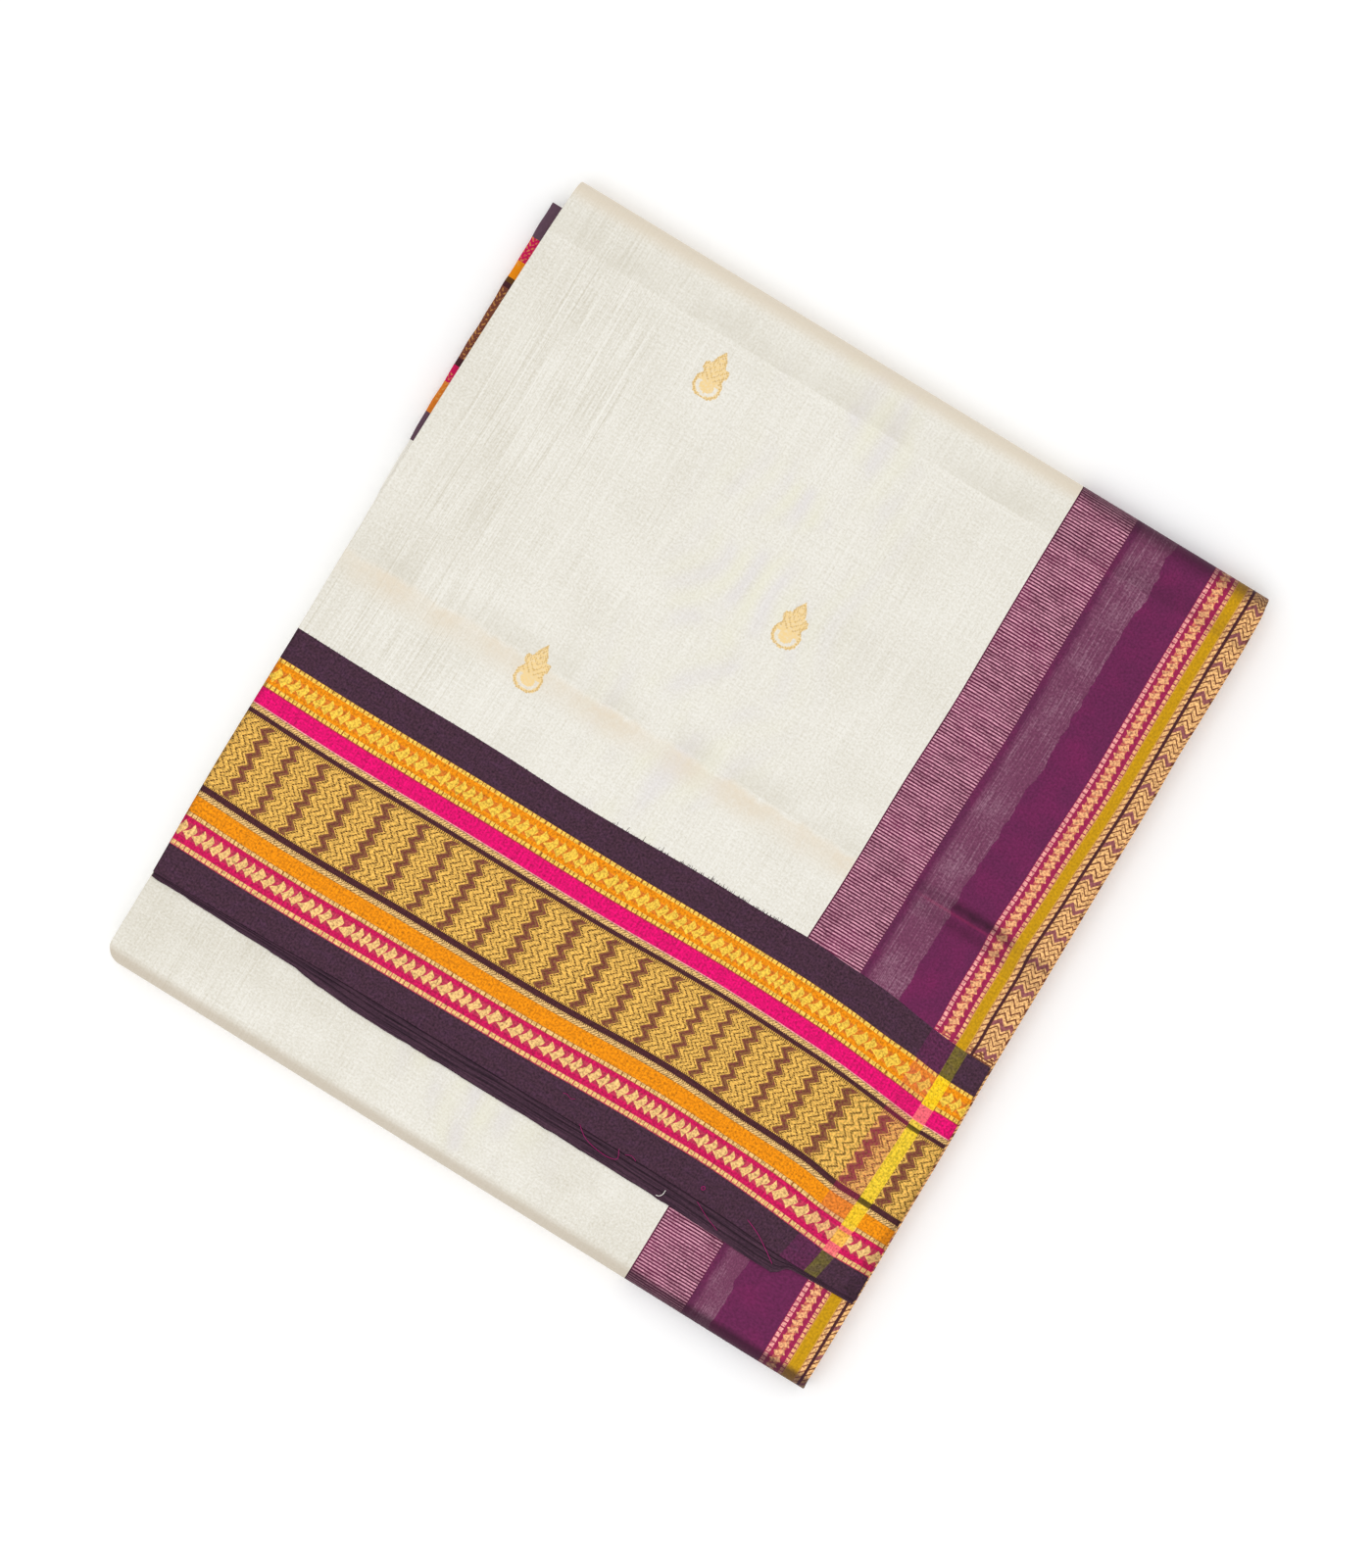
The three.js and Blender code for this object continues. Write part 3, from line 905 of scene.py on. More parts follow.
class Yarn(Enum):
    """Linear colours of the yarns, of mixes of warp and weft, and of yarns in shade."""

    CREAM = linear(243, 240, 231)
    # Darker cream of thick yarn, also the painted shade beside the creases.
    CREAM_SHADE = linear(212, 206, 190)
    CREAM_LILAC = linear(228, 222, 230)
    CREAM_STRAW = linear(240, 238, 212)
    # A warm band past the middle crease, and painted shade on the far fold.
    CREAM_WARM = linear(230, 217, 196)
    # Painted shade of the near fold's curve.
    CREAM_FOLD_SHADE = linear(193, 180, 161)
    BUTTA = linear(246, 214, 150)
    BUTTA_DARK = linear(190, 146, 66)
    STRIPE_LIGHT = linear(222, 158, 178)
    STRIPE_DARK = linear(86, 22, 54)
    PLUM_STRIP = linear(98, 36, 74)
    SHEER_PLUM = linear(117, 60, 90)
    PLUM = linear(104, 33, 78)
    PINK = linear(238, 164, 156)
    BORDER_MAGENTA = linear(162, 34, 80)
    PEACH = linear(240, 176, 124)
    PEACH_GAP = linear(208, 116, 86)
    MUSTARD = linear(200, 150, 4)
    MUSTARD_EDGE = linear(212, 158, 62)
    BORDER_GOLD = linear(242, 188, 124)
    BORDER_BROWN = linear(116, 62, 40)
    STRIP_BROWN = linear(158, 98, 66)
    BORDER_MAUVE = linear(150, 86, 90)
    DARK_LINE = linear(74, 34, 40)
    AUBERGINE = linear(69, 41, 57)
    GOLD = linear(240, 196, 70)
    OLD_GOLD = linear(230, 180, 86)
    GOLD_CHAIN = linear(246, 200, 84)
    ORANGE = linear(238, 142, 0)
    ORANGE_BROWN = linear(218, 122, 34)
    MAGENTA = linear(228, 0, 108)
    MAGENTA_DEEP = linear(204, 16, 86)
    MAGENTA_BROWN = linear(192, 56, 84)
    ZARI_BROWN = linear(98, 62, 22)
    CHAIN_BROWN = linear(158, 92, 34)
    ZIGZAG = linear(112, 54, 48)
    LIGHT_ZARI = linear(236, 192, 122)
    REVERSE_BROWN = linear(120, 66, 50)
    REVERSE_DARK = linear(96, 70, 86)
    THREAD = linear(170, 20, 110)
    SHEER_LIGHT = linear(160, 120, 138)
    PLUM_BLOOM = linear(150, 30, 98)
    # Painted shade at the border's creases and folds.
    CREASE_SHADE = linear(46, 16, 34)
    # A lighter red line just past the middle crease.
    CREASE_RED_LINE = linear(170, 40, 90)
    CROSSED_BANDS = linear(190, 20, 90)
    CROSSED_PLAIN = linear(140, 8, 104)
    AUBERGINE_BLOOM = linear(82, 48, 78)
    HEM_LIGHT = linear(80, 52, 68)
    HEM_DARK = linear(52, 32, 46)
    # Painted shade in the grooves between the rolled plies.
    HEM_GROOVE_SHADE = linear(28, 14, 24)
    FLOATED_GOLD = linear(226, 164, 84)
    TUFT = linear(66, 44, 58)
    WHITE_YARN = linear(244, 240, 232)


RAMP_STEPS = 256


def stops(bands: Sequence[Tuple[float, Yarn]], low: float, high: float) -> List[Tuple[float, Colour]]:
    """Turn bands, each with the place where it starts, into stops of a ramp from low to high.

    A ramp is read in steps, so that each stop is set half a step early.
    """
    early = 0.5 / RAMP_STEPS
    return [(max((start - low) / (high - low) - early, 0.0), yarn.value) for start, yarn in bands]


class Cloth(Shader):
    """A shader of woven cloth: its place in the weave, and woven figures as masks.

    In a figure x runs with its repeat. across and along are in millimetres.
    """

    end = 0.84
    pick = 0.9

    def __init__(self, name: str) -> None:
        """Start a material and read the place in the weave.

        Args:
            name: The material's name.
        """
        super().__init__(name)
        placed = self.take("ShaderNodeUVMap", {"uv_map": "weave"}, {})
        split = self.node("ShaderNodeSeparateXYZ", {}, {0: placed})
        self.place = self.across, self.along = Value(self, split.outputs[0]), Value(self, split.outputs[1])

    def between(self, value: Value, low: Number, high: Number) -> Value:
        """1 from low to high, or 0."""
        return (value > low) & (value < high)

    def within(self, value: Value, zones: Zones) -> Value:
        """1 inside any of the zones, or 0."""
        return reduce(or_, [self.between(value, low, high) for low, high in zones])

    def triangle(self, value: Value, period: float, height: float) -> Value:
        """A zigzag between 0 and height."""
        return self.math("PINGPONG", value, period / 2) * (2 * height / period)

    def chain(self, x: Value, period: float, fill: float) -> Value:
        """A row of blocks."""
        return (x % period) < (fill * period)

    def slant(self, x: Value, y: Value, period: float, lean: float, fill: float) -> Value:
        """Slanted strokes."""
        return ((x + y * lean) % period) < (fill * period)

    def running_leaf(self, x: Value, y: Value, period: float, breadth: float = 1.0) -> Value:
        """Two pointed lobes joined by a slanted neck, over and over.

        Args:
            x: Place along the repeat.
            y: Place across the band, from 0 to 1.
            period: Length of a repeat.
            breadth: Share by which the lobes are broader than usual.

        Returns:
            The mask.
        """
        left = self.outline(y, ((0.0, 0.73), (0.28, 0.61), (0.44, 0.45), (0.55, 0.27), (0.68, 0.0),
                                (0.85, 0.44), (1.0, 0.7)))
        width = self.outline(y, ((0.0, 0.03), (0.28, 0.56), (0.44, 0.66), (0.55, 0.76), (0.68, 0.84),
                                 (0.85, 0.34), (1.0, 0.03)))
        return ((x / period - left + (breadth - 1.0) * 0.3) % 1.0) < (width * breadth)

    def counted(self, place: Value, middles: Sequence[float]) -> Value:
        """Count repeats whose middles are given, with a fraction between two of them."""
        low, high, count = middles[0], middles[-1], len(middles) - 1
        rows = [((middle - low) / (high - low), order / count) for order, middle in enumerate(middles)]
        return self.outline((place - low) / (high - low), rows) * count

    def outline(self, y: Value, points: Points) -> Value:
        """A value that runs straight from point to point."""
        rows = [(place, (value, value, value)) for place, value in points]
        return self.ramp(y, rows, "LINEAR")

    def grain(self, size: float = 1.05) -> Value:
        """Unevenness of single spun threads, around zero."""
        return self.noise(self.across / size, self.along / size, 2.0, 21.0) - 0.5

    def weave_height(self) -> Value:
        """Over and under of single threads, between 0 and 1, from their spacing."""
        warp = self.math("SINE", self.across * (2 * math.pi / self.end))
        weft = self.math("SINE", self.along * (2 * math.pi / self.pick))
        return warp * weft * 0.5 + 0.5


# -------- finishes


@dataclass(frozen=True)
class FieldFinish:
    """Cream plain weave with slubs, painted shade at creases and folds, a warm band and small woven buttas.
    """

    name: str = "cream_field_cloth"
    roughness: float = 0.62
    lower_leaf: float = -412.4
    streaky_side: Tuple[float, ...] = (-248.0, -236.0, -204.0, -176.0)
    far_crease: Tuple[float, ...] = (6.0, 29.6, 29.4, 30.6)
    middle_crease: Tuple[float, ...] = (176.0, 190.4, 190.2, 191.6)
    warp_spacing: float = 0.42
    weft_spacing: float = 0.67
    butta_period: float = 147.2
    butta_first: Tuple[float, float] = (-160.6, 52.6)
    butta_second: Tuple[float, float] = (-76.4, 126.5)
    last_butta: float = -372.4
    near_fold: float = -404.6

    def build(self) -> Material:
        """Make the material.

        Returns:
            The material.
        """
        cloth = Cloth(self.name)
        across, along = cloth.place
        warp_slub = cloth.noise(across * 1.5, along * 0.03, 3.0)
        weft_slub = cloth.noise(across * 0.05, along * 1.5, 2.0, 4.0)
        cloud = cloth.noise(across * 0.03, along * 0.03, 3.0, 8.0)
        grain = cloth.grain()
        streaky = cloth.hump(across, *self.streaky_side)
        lower = along < self.lower_leaf
        warp = (warp_slub - 0.5) * (0.7 + streaky * 0.9) + self._threads(cloth)
        shade = 0.3 + warp * (1.0 - lower * 0.45) + (weft_slub - 0.5) * 0.5
        shade = shade + (cloud - 0.5) * (0.5 + lower * 0.6) + grain * 1.5 + lower * 0.12
        # Painted shade: the cream darkens towards the left edge.
        shade = shade + cloth.smooth(across, -170.0, -240.0) * 0.14
        colour = cloth.mix(cloth.clamp(shade), Yarn.CREAM, Yarn.CREAM_SHADE)
        bend = cloth.noise(across * 0.012, along * 0.012, 1.0, 2.0)
        moire = cloth.math("SINE", across * 0.35 + bend * 22.0 + along * along * 0.0002)
        moire_zone = cloth.bell(across, -95.0, 60.0) * cloth.smooth(cloud, 0.4, 0.6) * 0.38
        colour = cloth.mix(moire_zone * cloth.clamp(moire), colour, Yarn.CREAM_LILAC)
        colour = cloth.mix(moire_zone * cloth.clamp(0.0 - moire), colour, Yarn.CREAM_STRAW)
        # Painted shade at the creases and on the far fold, and a warm band past the middle crease.
        pressed, warm = self._crease_and_fold_shade(cloth)
        colour = cloth.mix(pressed, colour, Yarn.CREAM_SHADE)
        colour = cloth.mix(warm, colour, Yarn.CREAM_WARM)
        # Painted shade on the near fold's curve.
        near_fold = cloth.smooth(abs(along - self.near_fold), 12.8, 6.8)
        colour = cloth.mix(near_fold * 0.76, colour, Yarn.CREAM_FOLD_SHADE)
        gold, dots = self._buttas(cloth)
        colour = cloth.mix(gold * (0.9 + grain * 1.2), colour, Yarn.BUTTA)
        colour = cloth.mix(dots, colour, Yarn.BUTTA_DARK)
        height = cloth.weave_height() * 0.6
        height = height + warp_slub * 0.4 + weft_slub * 0.4 + grain * 1.5 + gold * 0.5
        rough = self.roughness - gold * 0.12 + (warp_slub - 0.5) * 0.1
        links = {"Base Color": colour, "Roughness": rough, "Normal": cloth.bump(height, 0.25, 0.00025)}
        return cloth.finish({"Specular IOR Level": 0.2}, links)

    def _threads(self, cloth: Cloth) -> Value:
        """Single warp threads that are thinner or thicker for most of their length.

        Args:
            cloth: The cloth to draw in.

        Returns:
            How much darker they are, around zero.
        """
        across, along = cloth.place
        thread = cloth.noise(across * 1.3, along * 0.006, 1.0, 31.0)
        share = cloth.smooth(across, -130.0, -190.0) * 0.7 + 0.3
        return (cloth.smooth(thread, 0.36, 0.3) * 0.34 - cloth.smooth(thread, 0.64, 0.7) * 0.34) * share

    def _crease_and_fold_shade(self, cloth: Cloth) -> Tuple[Value, Value]:
        """Painted shade: grey beside the creases, and warm on the far fold; and a warm band just past the
        middle crease.

        Args:
            cloth: The cloth to draw in.

        Returns:
            Shares of the grey painted shade, and of the warm band with the far fold's painted shade.
        """
        across, along = cloth.place
        patch = cloth.smooth(cloth.noise(across * 0.045, along * 0.02, 4.0, 12.0), 0.34, 0.62)
        broken = patch * (0.75 + cloth.grain(2.4) * 1.6)
        # Painted shade beside the far and middle creases on top, and beside the creases underneath.
        far = cloth.hump(along, *self.far_crease) * (broken * 0.42 + 0.1)
        middle = cloth.hump(along, *self.middle_crease) * broken * 0.5
        under = cloth.smooth(along, -222.0, -208.0) * (along < -207.0) * broken
        grey = far + middle + under * 0.5
        ragged = cloth.noise(across * 0.09, along * 0.02, 3.0, 14.0) - 0.5
        after_crease = cloth.smooth(along, 208.0, 194.5)
        after_crease = after_crease * cloth.smooth(along + ragged * 9.0, 190.4, 193.8)
        # Painted shade on the far fold's curve.
        far_fold = cloth.smooth(abs(along), 15.0, 7.0)
        warm = after_crease * (0.3 + broken * 0.62) + far_fold * 0.85
        return grey, cloth.clamp(warm)

    def _buttas(self, cloth: Cloth) -> Tuple[Value, Value]:
        """Small woven figures in two staggered columns.

        Args:
            cloth: The cloth to draw in.

        Returns:
            Masks of the figures and of their dots.
        """
        across, along = cloth.place
        woven_x = cloth.math("SNAP", across, self.warp_spacing)
        woven_y = cloth.math("SNAP", along, self.weft_spacing)
        woven = []
        for centre_x, centre_y in (self.butta_first, self.butta_second):
            offset = woven_y - centre_y + self.butta_period / 2
            y = (offset % self.butta_period) - self.butta_period / 2
            woven.append(self._butta(cloth, abs(woven_x - centre_x), y))
        figures, dots = (reduce(or_, masks) for masks in zip(*woven))
        flat_cloth = along > self.last_butta
        return figures * flat_cloth, dots * flat_cloth * 0.5

    def _butta(self, cloth: Cloth, x: Value, y: Value) -> Tuple[Value, Value]:
        """One butta, and the darker stitches in it: a ring with a bud, under a crown of leaves.

        Args:
            cloth: The cloth to draw in.
            x: Distance from its middle line.
            y: Place along it.

        Returns:
            Masks of the figure and of its stitches.
        """
        low, high, widest = -17.6, 5.0, 8.0
        half_widths = ((-17.6, 0.2), (-13.5, 2.5), (-10.9, 3.3), (-10.3, 5.6), (-8.4, 6.0), (-6.9, 5.7),
                       (-6.1, 4.8), (-5.2, 4.9), (-3.2, 6.2), (-0.4, 6.5), (2.0, 6.0), (3.7, 4.5),
                       (4.6, 2.7), (4.95, 0.0))
        rows = [((place - low) / (high - low), width / widest) for place, width in half_widths]
        outline = cloth.outline((y - low) / (high - low), rows) * widest
        body = (x < outline) & cloth.between(y, low, high)
        ring = (x / 6.5) ** 2.0 + ((y + 0.4) / 5.4) ** 2.0
        hole = (cloth.between(ring, 0.26, 0.6) & (y > -1.7)) * 0.85
        rim = (x > (outline - 1.1)) | (cloth.between(ring, 0.66, 1.1) & (y > -1.6))
        veins = cloth.slant(x, y, 2.6, 0.9, 0.42) & (y < -3.4)
        marks = (rim | veins) & cloth.chain(x + y, 1.34, 0.62)
        return body & (1.0 - hole), body & marks


@dataclass(frozen=True)
class BorderFinish:
    """The side border: striped, sheer and plain plum, then bands of woven gold."""

    name: str = "woven_border_cloth"
    bands: Tuple[Tuple[float, Yarn], ...] = (
        (0.0, Yarn.STRIPE_DARK), (27.4, Yarn.PLUM_STRIP), (47.2, Yarn.PLUM), (66.7, Yarn.BORDER_MAGENTA),
        (78.0, Yarn.BORDER_BROWN), (78.35, Yarn.MUSTARD_EDGE), (78.8, Yarn.MUSTARD),
        (82.8, Yarn.MUSTARD_EDGE), (83.2, Yarn.STRIP_BROWN), (85.7, Yarn.DARK_LINE),
        (87.0, Yarn.BORDER_BROWN))
    broad_rows: Tuple[float, ...] = (0.0, 11.9, 26.1, 40.6, 55.5, 73.0, 87.0, 101.3, 115.6, 130.3, 147.9,
                                     162.0, 176.1, 190.2, 203.2, 220.6, 234.5)
    broad_period: float = 14.65
    reach: float = 110.0
    stripes: Tuple[float, float] = (0.6, 27.3)
    ragged: Tuple[float, float] = (28.4, 56.0)
    sheer_end: float = 47.2
    chains: Zones = ((66.9, 68.7), (76.55, 78.05))
    leaves: Tuple[float, float] = (69.7, 75.1)
    leaf_gaps: Tuple[float, float] = (70.5, 74.3)
    slanted: Tuple[float, float] = (83.5, 85.6)
    chevrons: float = 87.0
    near_fold: float = -404.6
    crease: float = 187.4
    crease_depth: Points = ((0.0, 0.12), (0.27, 0.15), (0.29, 0.42), (0.45, 0.45), (0.49, 1.0), (0.66, 1.0),
                            (0.77, 0.75), (0.79, 0.2), (0.83, 0.2), (0.86, 0.5), (1.0, 0.55))
    join: float = 234.3

    def build(self) -> Material:
        """Make the material.

        Returns:
            The material.
        """
        cloth = Cloth(self.name)
        across, along = cloth.place
        grain = cloth.grain()
        ragged = cloth.noise(across * 0.05, along * 0.11, 5.0) - 0.5
        sway = cloth.smooth(across, 30.0, 44.0) * 3.4 + 3.2
        read = across + cloth.between(across, *self.ragged) * ragged * sway
        ground = cloth.ramp(read / self.reach, stops(self.bands, 0.0, self.reach))
        figure, gold, yarn = self._figures(cloth, grain)
        streak = cloth.noise(across * 2.0, along * 0.04, 3.0, 3.0)
        cloud = cloth.noise(across * 0.06, along * 0.06, 4.0, 6.0)
        sheer = cloth.smooth(read, 28.9, 32.8) * (read < self.sheer_end)
        weft = cloth.noise(across * 0.07, along * 1.3, 3.0, 9.0)
        thin = (streak - 0.5) * 2.2 + (weft - 0.5) * 0.8 + (cloud - 0.46) * 1.4 + grain
        colour = cloth.mix(sheer, ground, Yarn.SHEER_PLUM)
        colour = cloth.mix(cloth.clamp(sheer * thin), colour, Yarn.SHEER_LIGHT)
        bloom = cloth.clamp((cloud - 0.45) * (1.0 - sheer) * (across < 66.0))
        colour = cloth.mix(bloom, colour, Yarn.PLUM_BLOOM)
        colour = cloth.mix(cloth.clamp(figure), colour, yarn)
        rough_yarn = gold * 0.9 + 1.1
        colour = cloth.shade(colour, 1.0 + grain * rough_yarn + (streak - 0.5) * 0.25)
        # Painted shade at the creases and folds, and a red line past the middle crease.
        shaded, red = self._crease_and_fold_shade(cloth)
        colour = cloth.mix(shaded, colour, Yarn.CREASE_SHADE)
        colour = cloth.mix(red, colour, Yarn.CREASE_RED_LINE)
        height = cloth.weave_height() * 0.4 + figure * 0.7 + grain * 1.6
        links = {"Base Color": colour, "Metallic": gold * 0.2,
                 "Roughness": 0.62 - gold * 0.14, "Normal": cloth.bump(height, 0.3, 0.0003)}
        return cloth.finish({"Specular IOR Level": 0.15}, links)

    def _crease_and_fold_shade(self, cloth: Cloth) -> Tuple[Value, Value]:
        """Painted shade beside the creases and on the folds, and a lighter red line beside the middle
        crease.

        Args:
            cloth: The cloth to draw in.

        Returns:
            Shares of the painted shade and of the red line.
        """
        across, along = cloth.place
        line = along - cloth.smooth(across, 64.0, 90.0) * 3.0
        depth = cloth.outline(across / 100.0, self.crease_depth)
        broken = 0.8 + cloth.grain(5.0) * 0.9
        # Painted shade beside the middle and far creases and on both folds.
        middle = cloth.bell(line, self.crease, 4.8) * 0.88
        middle = middle + cloth.bell(line, self.crease + 7.6, 5.4) * 0.5
        far = cloth.hump(along, 16.0, 29.0, 29.4, 31.0) * 0.18
        fold = cloth.smooth(abs(along), 15.0, 5.0) * 0.62
        fold = fold | (cloth.smooth(abs(along - self.near_fold), 12.2, 8.0) * 0.8)
        # A lighter red line just past the middle crease.
        red_line_span = cloth.hump(across, 26.0, 40.0, 66.0, 76.0)
        red = cloth.bell(line, self.crease + 3.2, 1.1) * red_line_span * 0.22
        return cloth.clamp(middle * depth * broken + far + fold), red

    def _figures(self, cloth: Cloth, grain: Value) -> Tuple[Value, Value, Value]:
        """All the woven figures: where they are, where they are gold, and their yarns.

        Args:
            cloth: The cloth to draw in.
            grain: Unevenness of the threads.

        Returns:
            Their mask, the gold's mask and their colours.
        """
        across, along = cloth.place
        blotch = cloth.noise(across * 0.1, along * 0.25, 3.0, 7.0)
        stripe = cloth.chain(along + (blotch - 0.5) * 0.8, 1.39, 0.48) & cloth.between(across, *self.stripes)
        stripe = stripe * cloth.clamp(blotch * 1.6 + grain)
        blocks = cloth.chain(along, 2.5, 0.78) & cloth.within(across, self.chains)
        leaf = cloth.running_leaf(along, (across - 69.6) / 5.6, 3.72, 1.08)
        leaf = leaf & cloth.between(across, *self.leaves)
        between_leaves = (1.0 - leaf) & cloth.between(across, *self.leaf_gaps)
        strip = cloth.slant(along, across, 3.09, 1.0, 0.7) & cloth.between(across, *self.slanted)
        chevron = cloth.triangle(across - self.chevrons, 5.3, 3.0) - 1.5
        count = self._counted_rows(cloth, along + chevron)
        broad = ((count + 0.09) % 1.0) < 0.16
        light = (((count * 5.0) % 1.0) < 0.74) & ((across > self.chevrons) & (1.0 - broad))
        lines = ((along % 1.35) < 0.62) & (along > self.join) & (across > 66.2)
        gold = (blocks | leaf | strip | light) * (1.0 - lines)
        mauve = (across > self.chevrons) & broad
        speck = gold * cloth.clamp(0.95 + grain * 2.2)
        yarns = [(0.0, Yarn.STRIPE_LIGHT), (60.0, Yarn.PINK), (69.0, Yarn.PEACH), (79.0, Yarn.BORDER_GOLD)]
        yarn = cloth.ramp(across / self.reach, stops(yarns, 0.0, self.reach))
        yarn = cloth.mix(between_leaves, yarn, Yarn.PEACH_GAP)
        yarn = cloth.mix(mauve, yarn, Yarn.BORDER_MAUVE)
        filled = between_leaves * cloth.clamp(0.68 + grain * 3.0)
        return speck | stripe | filled | (mauve * cloth.clamp(0.9 + grain * 2.2)), gold, yarn

    def _counted_rows(self, cloth: Cloth, along: Value) -> Value:
        """Count the broad chevrons: at their own places on the top leaf, evenly on the others."""
        held = (along | self.broad_rows[0]) & self.broad_rows[-1]
        return cloth.counted(held, self.broad_rows) + (along - held) / self.broad_period


@dataclass(frozen=True)
class PalluFinish:
    """The end panel: bands across the cloth, and the border's warp that crosses them."""

    name: str = "end_panel_cloth"
    low: float = -20.0
    high: float = 112.0
    bands: Tuple[Tuple[float, Yarn], ...] = (
        (-20.0, Yarn.AUBERGINE), (0.0, Yarn.CHAIN_BROWN), (1.9, Yarn.ORANGE), (4.6, Yarn.ORANGE_BROWN),
        (10.6, Yarn.ORANGE), (12.4, Yarn.CHAIN_BROWN), (14.5, Yarn.MAGENTA_DEEP), (15.1, Yarn.MAGENTA),
        (22.45, Yarn.PINK), (22.95, Yarn.ZARI_BROWN), (25.0, Yarn.DARK_LINE), (26.9, Yarn.ZARI_BROWN),
        (64.0, Yarn.DARK_LINE), (66.7, Yarn.ZARI_BROWN), (69.1, Yarn.ORANGE), (76.5, Yarn.CHAIN_BROWN),
        (78.3, Yarn.MAGENTA_DEEP), (80.8, Yarn.MAGENTA_BROWN), (87.0, Yarn.MAGENTA_DEEP),
        (89.9, Yarn.MAGENTA_BROWN), (92.2, Yarn.AUBERGINE))
    figures: Tuple[Tuple[float, Yarn], ...] = (
        (-20.0, Yarn.GOLD_CHAIN), (3.0, Yarn.GOLD), (11.0, Yarn.GOLD_CHAIN), (20.0, Yarn.LIGHT_ZARI),
        (27.0, Yarn.OLD_GOLD), (65.0, Yarn.LIGHT_ZARI))
    crossing: Tuple[Tuple[float, Colour], ...] = (
        (-20.0, linear(116, 102, 34)), (0.0, linear(252, 208, 20)), (14.6, linear(250, 110, 118)),
        (22.6, linear(238, 200, 60)), (25.2, linear(96, 78, 12)), (27.0, linear(238, 202, 42)),
        (64.4, linear(96, 78, 12)), (66.8, linear(246, 204, 40)), (78.7, linear(250, 120, 104)),
        (81.0, linear(250, 184, 70)), (87.2, linear(250, 110, 118)), (92.2, linear(104, 92, 40)))
    broad_columns: Tuple[float, ...] = (
        -258.6, -242.8, -228.8, -214.5, -197.7, -182.1, -164.3, -150.8, -135.5, -119.8, -104.0, -86.4,
        -68.9, -53.4, -37.9, -22.5, -10.8, 2.0, 18.5, 33.2, 49.7, 69.6, 87.9, 104.0)
    repeat: float = 15.9
    zigzags: Tuple[float, float] = (28.2, 63.4)
    upper_chains: Zones = ((0.25, 1.9), (12.5, 14.3))
    lower_chains: Zones = ((76.6, 78.3), (90.0, 92.0))
    slanted: Zones = ((22.95, 24.6), (67.3, 69.1))
    dotted: Zones = ((24.5, 25.0), (26.9, 28.2), (63.3, 64.0), (66.7, 67.3))
    leaf_height: float = 7.4
    leaf_breadth: float = 1.13
    last_band: float = 92.2
    plum_stripe: Tuple[float, float] = (66.0, 78.6)
    mustard_stripe: Tuple[float, float] = (78.35, 84.4)

    def build(self) -> Material:
        """Make the material.

        Returns:
            The material.
        """
        cloth = Cloth(self.name)
        across, along = cloth.place
        span = self.high - self.low
        place = (along - self.low) / span
        ground = cloth.ramp(place, stops(self.bands, self.low, self.high))
        yarn = cloth.ramp(place, stops(self.figures, self.low, self.high))
        rows = [((start - self.low) / span, colour) for start, colour in self.crossing]
        stripe_colour = cloth.ramp(place, rows)
        grain = cloth.grain()
        zigzag = cloth.counted(across + cloth.triangle(along - 28.0, 6.2, 3.5) - 1.75, self.broad_columns)
        in_zigzags = cloth.between(along, *self.zigzags)
        dark = (((zigzag + 0.12) % 1.0) < 0.24) & in_zigzags
        fine = (((zigzag * 5.0 + 0.25) % 1.0) < 0.29) & cloth.chain(along, 0.84, 0.72)
        wander = cloth.noise(across * 0.11, 3.0, 1.0, 5.0) * 5.0
        counted = cloth.counted(across, self.broad_columns) * self.repeat + wander - 2.5
        gold = self._gold(cloth, counted) | (in_zigzags & (1.0 - fine))
        dots = cloth.chain(across, 0.9, 0.55) & cloth.within(along, self.dotted)
        colour = cloth.mix((gold | dots) * cloth.clamp(0.98 + grain * 1.1), ground, yarn)
        colour = cloth.mix(dark * cloth.clamp(0.86 + grain * 1.6), colour, Yarn.ZIGZAG)
        plum = cloth.between(across, *self.plum_stripe)
        plain = (along < 0.0) | (along > self.last_band)
        crossed = cloth.mix(plain, Yarn.CROSSED_BANDS, Yarn.CROSSED_PLAIN)
        colour = cloth.mix(plum * 0.22, colour, crossed)
        mustard = cloth.between(across, *self.mustard_stripe)
        colour = cloth.mix(mustard * 0.88, colour, stripe_colour)
        rim = cloth.smooth(across, 94.0, 98.0) | cloth.smooth(across, -252.0, -255.5)
        colour = cloth.tint(rim * 0.5, colour, (0.35, 0.3, 0.3))
        warp_slub = cloth.noise(across * 2.0, along * 0.03, 3.0)
        weft_slub = cloth.noise(across * 0.03, along * 2.2, 3.0, 5.0)
        cloud = cloth.noise(across * 0.15, along * 0.3, 4.0, 6.0)
        bloom = plain * cloth.clamp((cloud - 0.45) * 1.3)
        colour = cloth.mix(bloom, colour, Yarn.AUBERGINE_BLOOM)
        uneven = (warp_slub - 0.5) * 0.8 + (weft_slub - 0.5) * 0.4 + grain * (1.9 + plain * 0.5)
        colour = cloth.shade(colour, 1.0 + uneven)
        height = cloth.weave_height() * 0.4 + gold * 0.8 + grain * 1.6
        links = {"Base Color": colour, "Metallic": gold * (1.0 - mustard) * 0.2,
                 "Roughness": 0.62 - gold * 0.18, "Normal": cloth.bump(height, 0.35, 0.0003)}
        return cloth.finish({"Specular IOR Level": 0.15}, links)

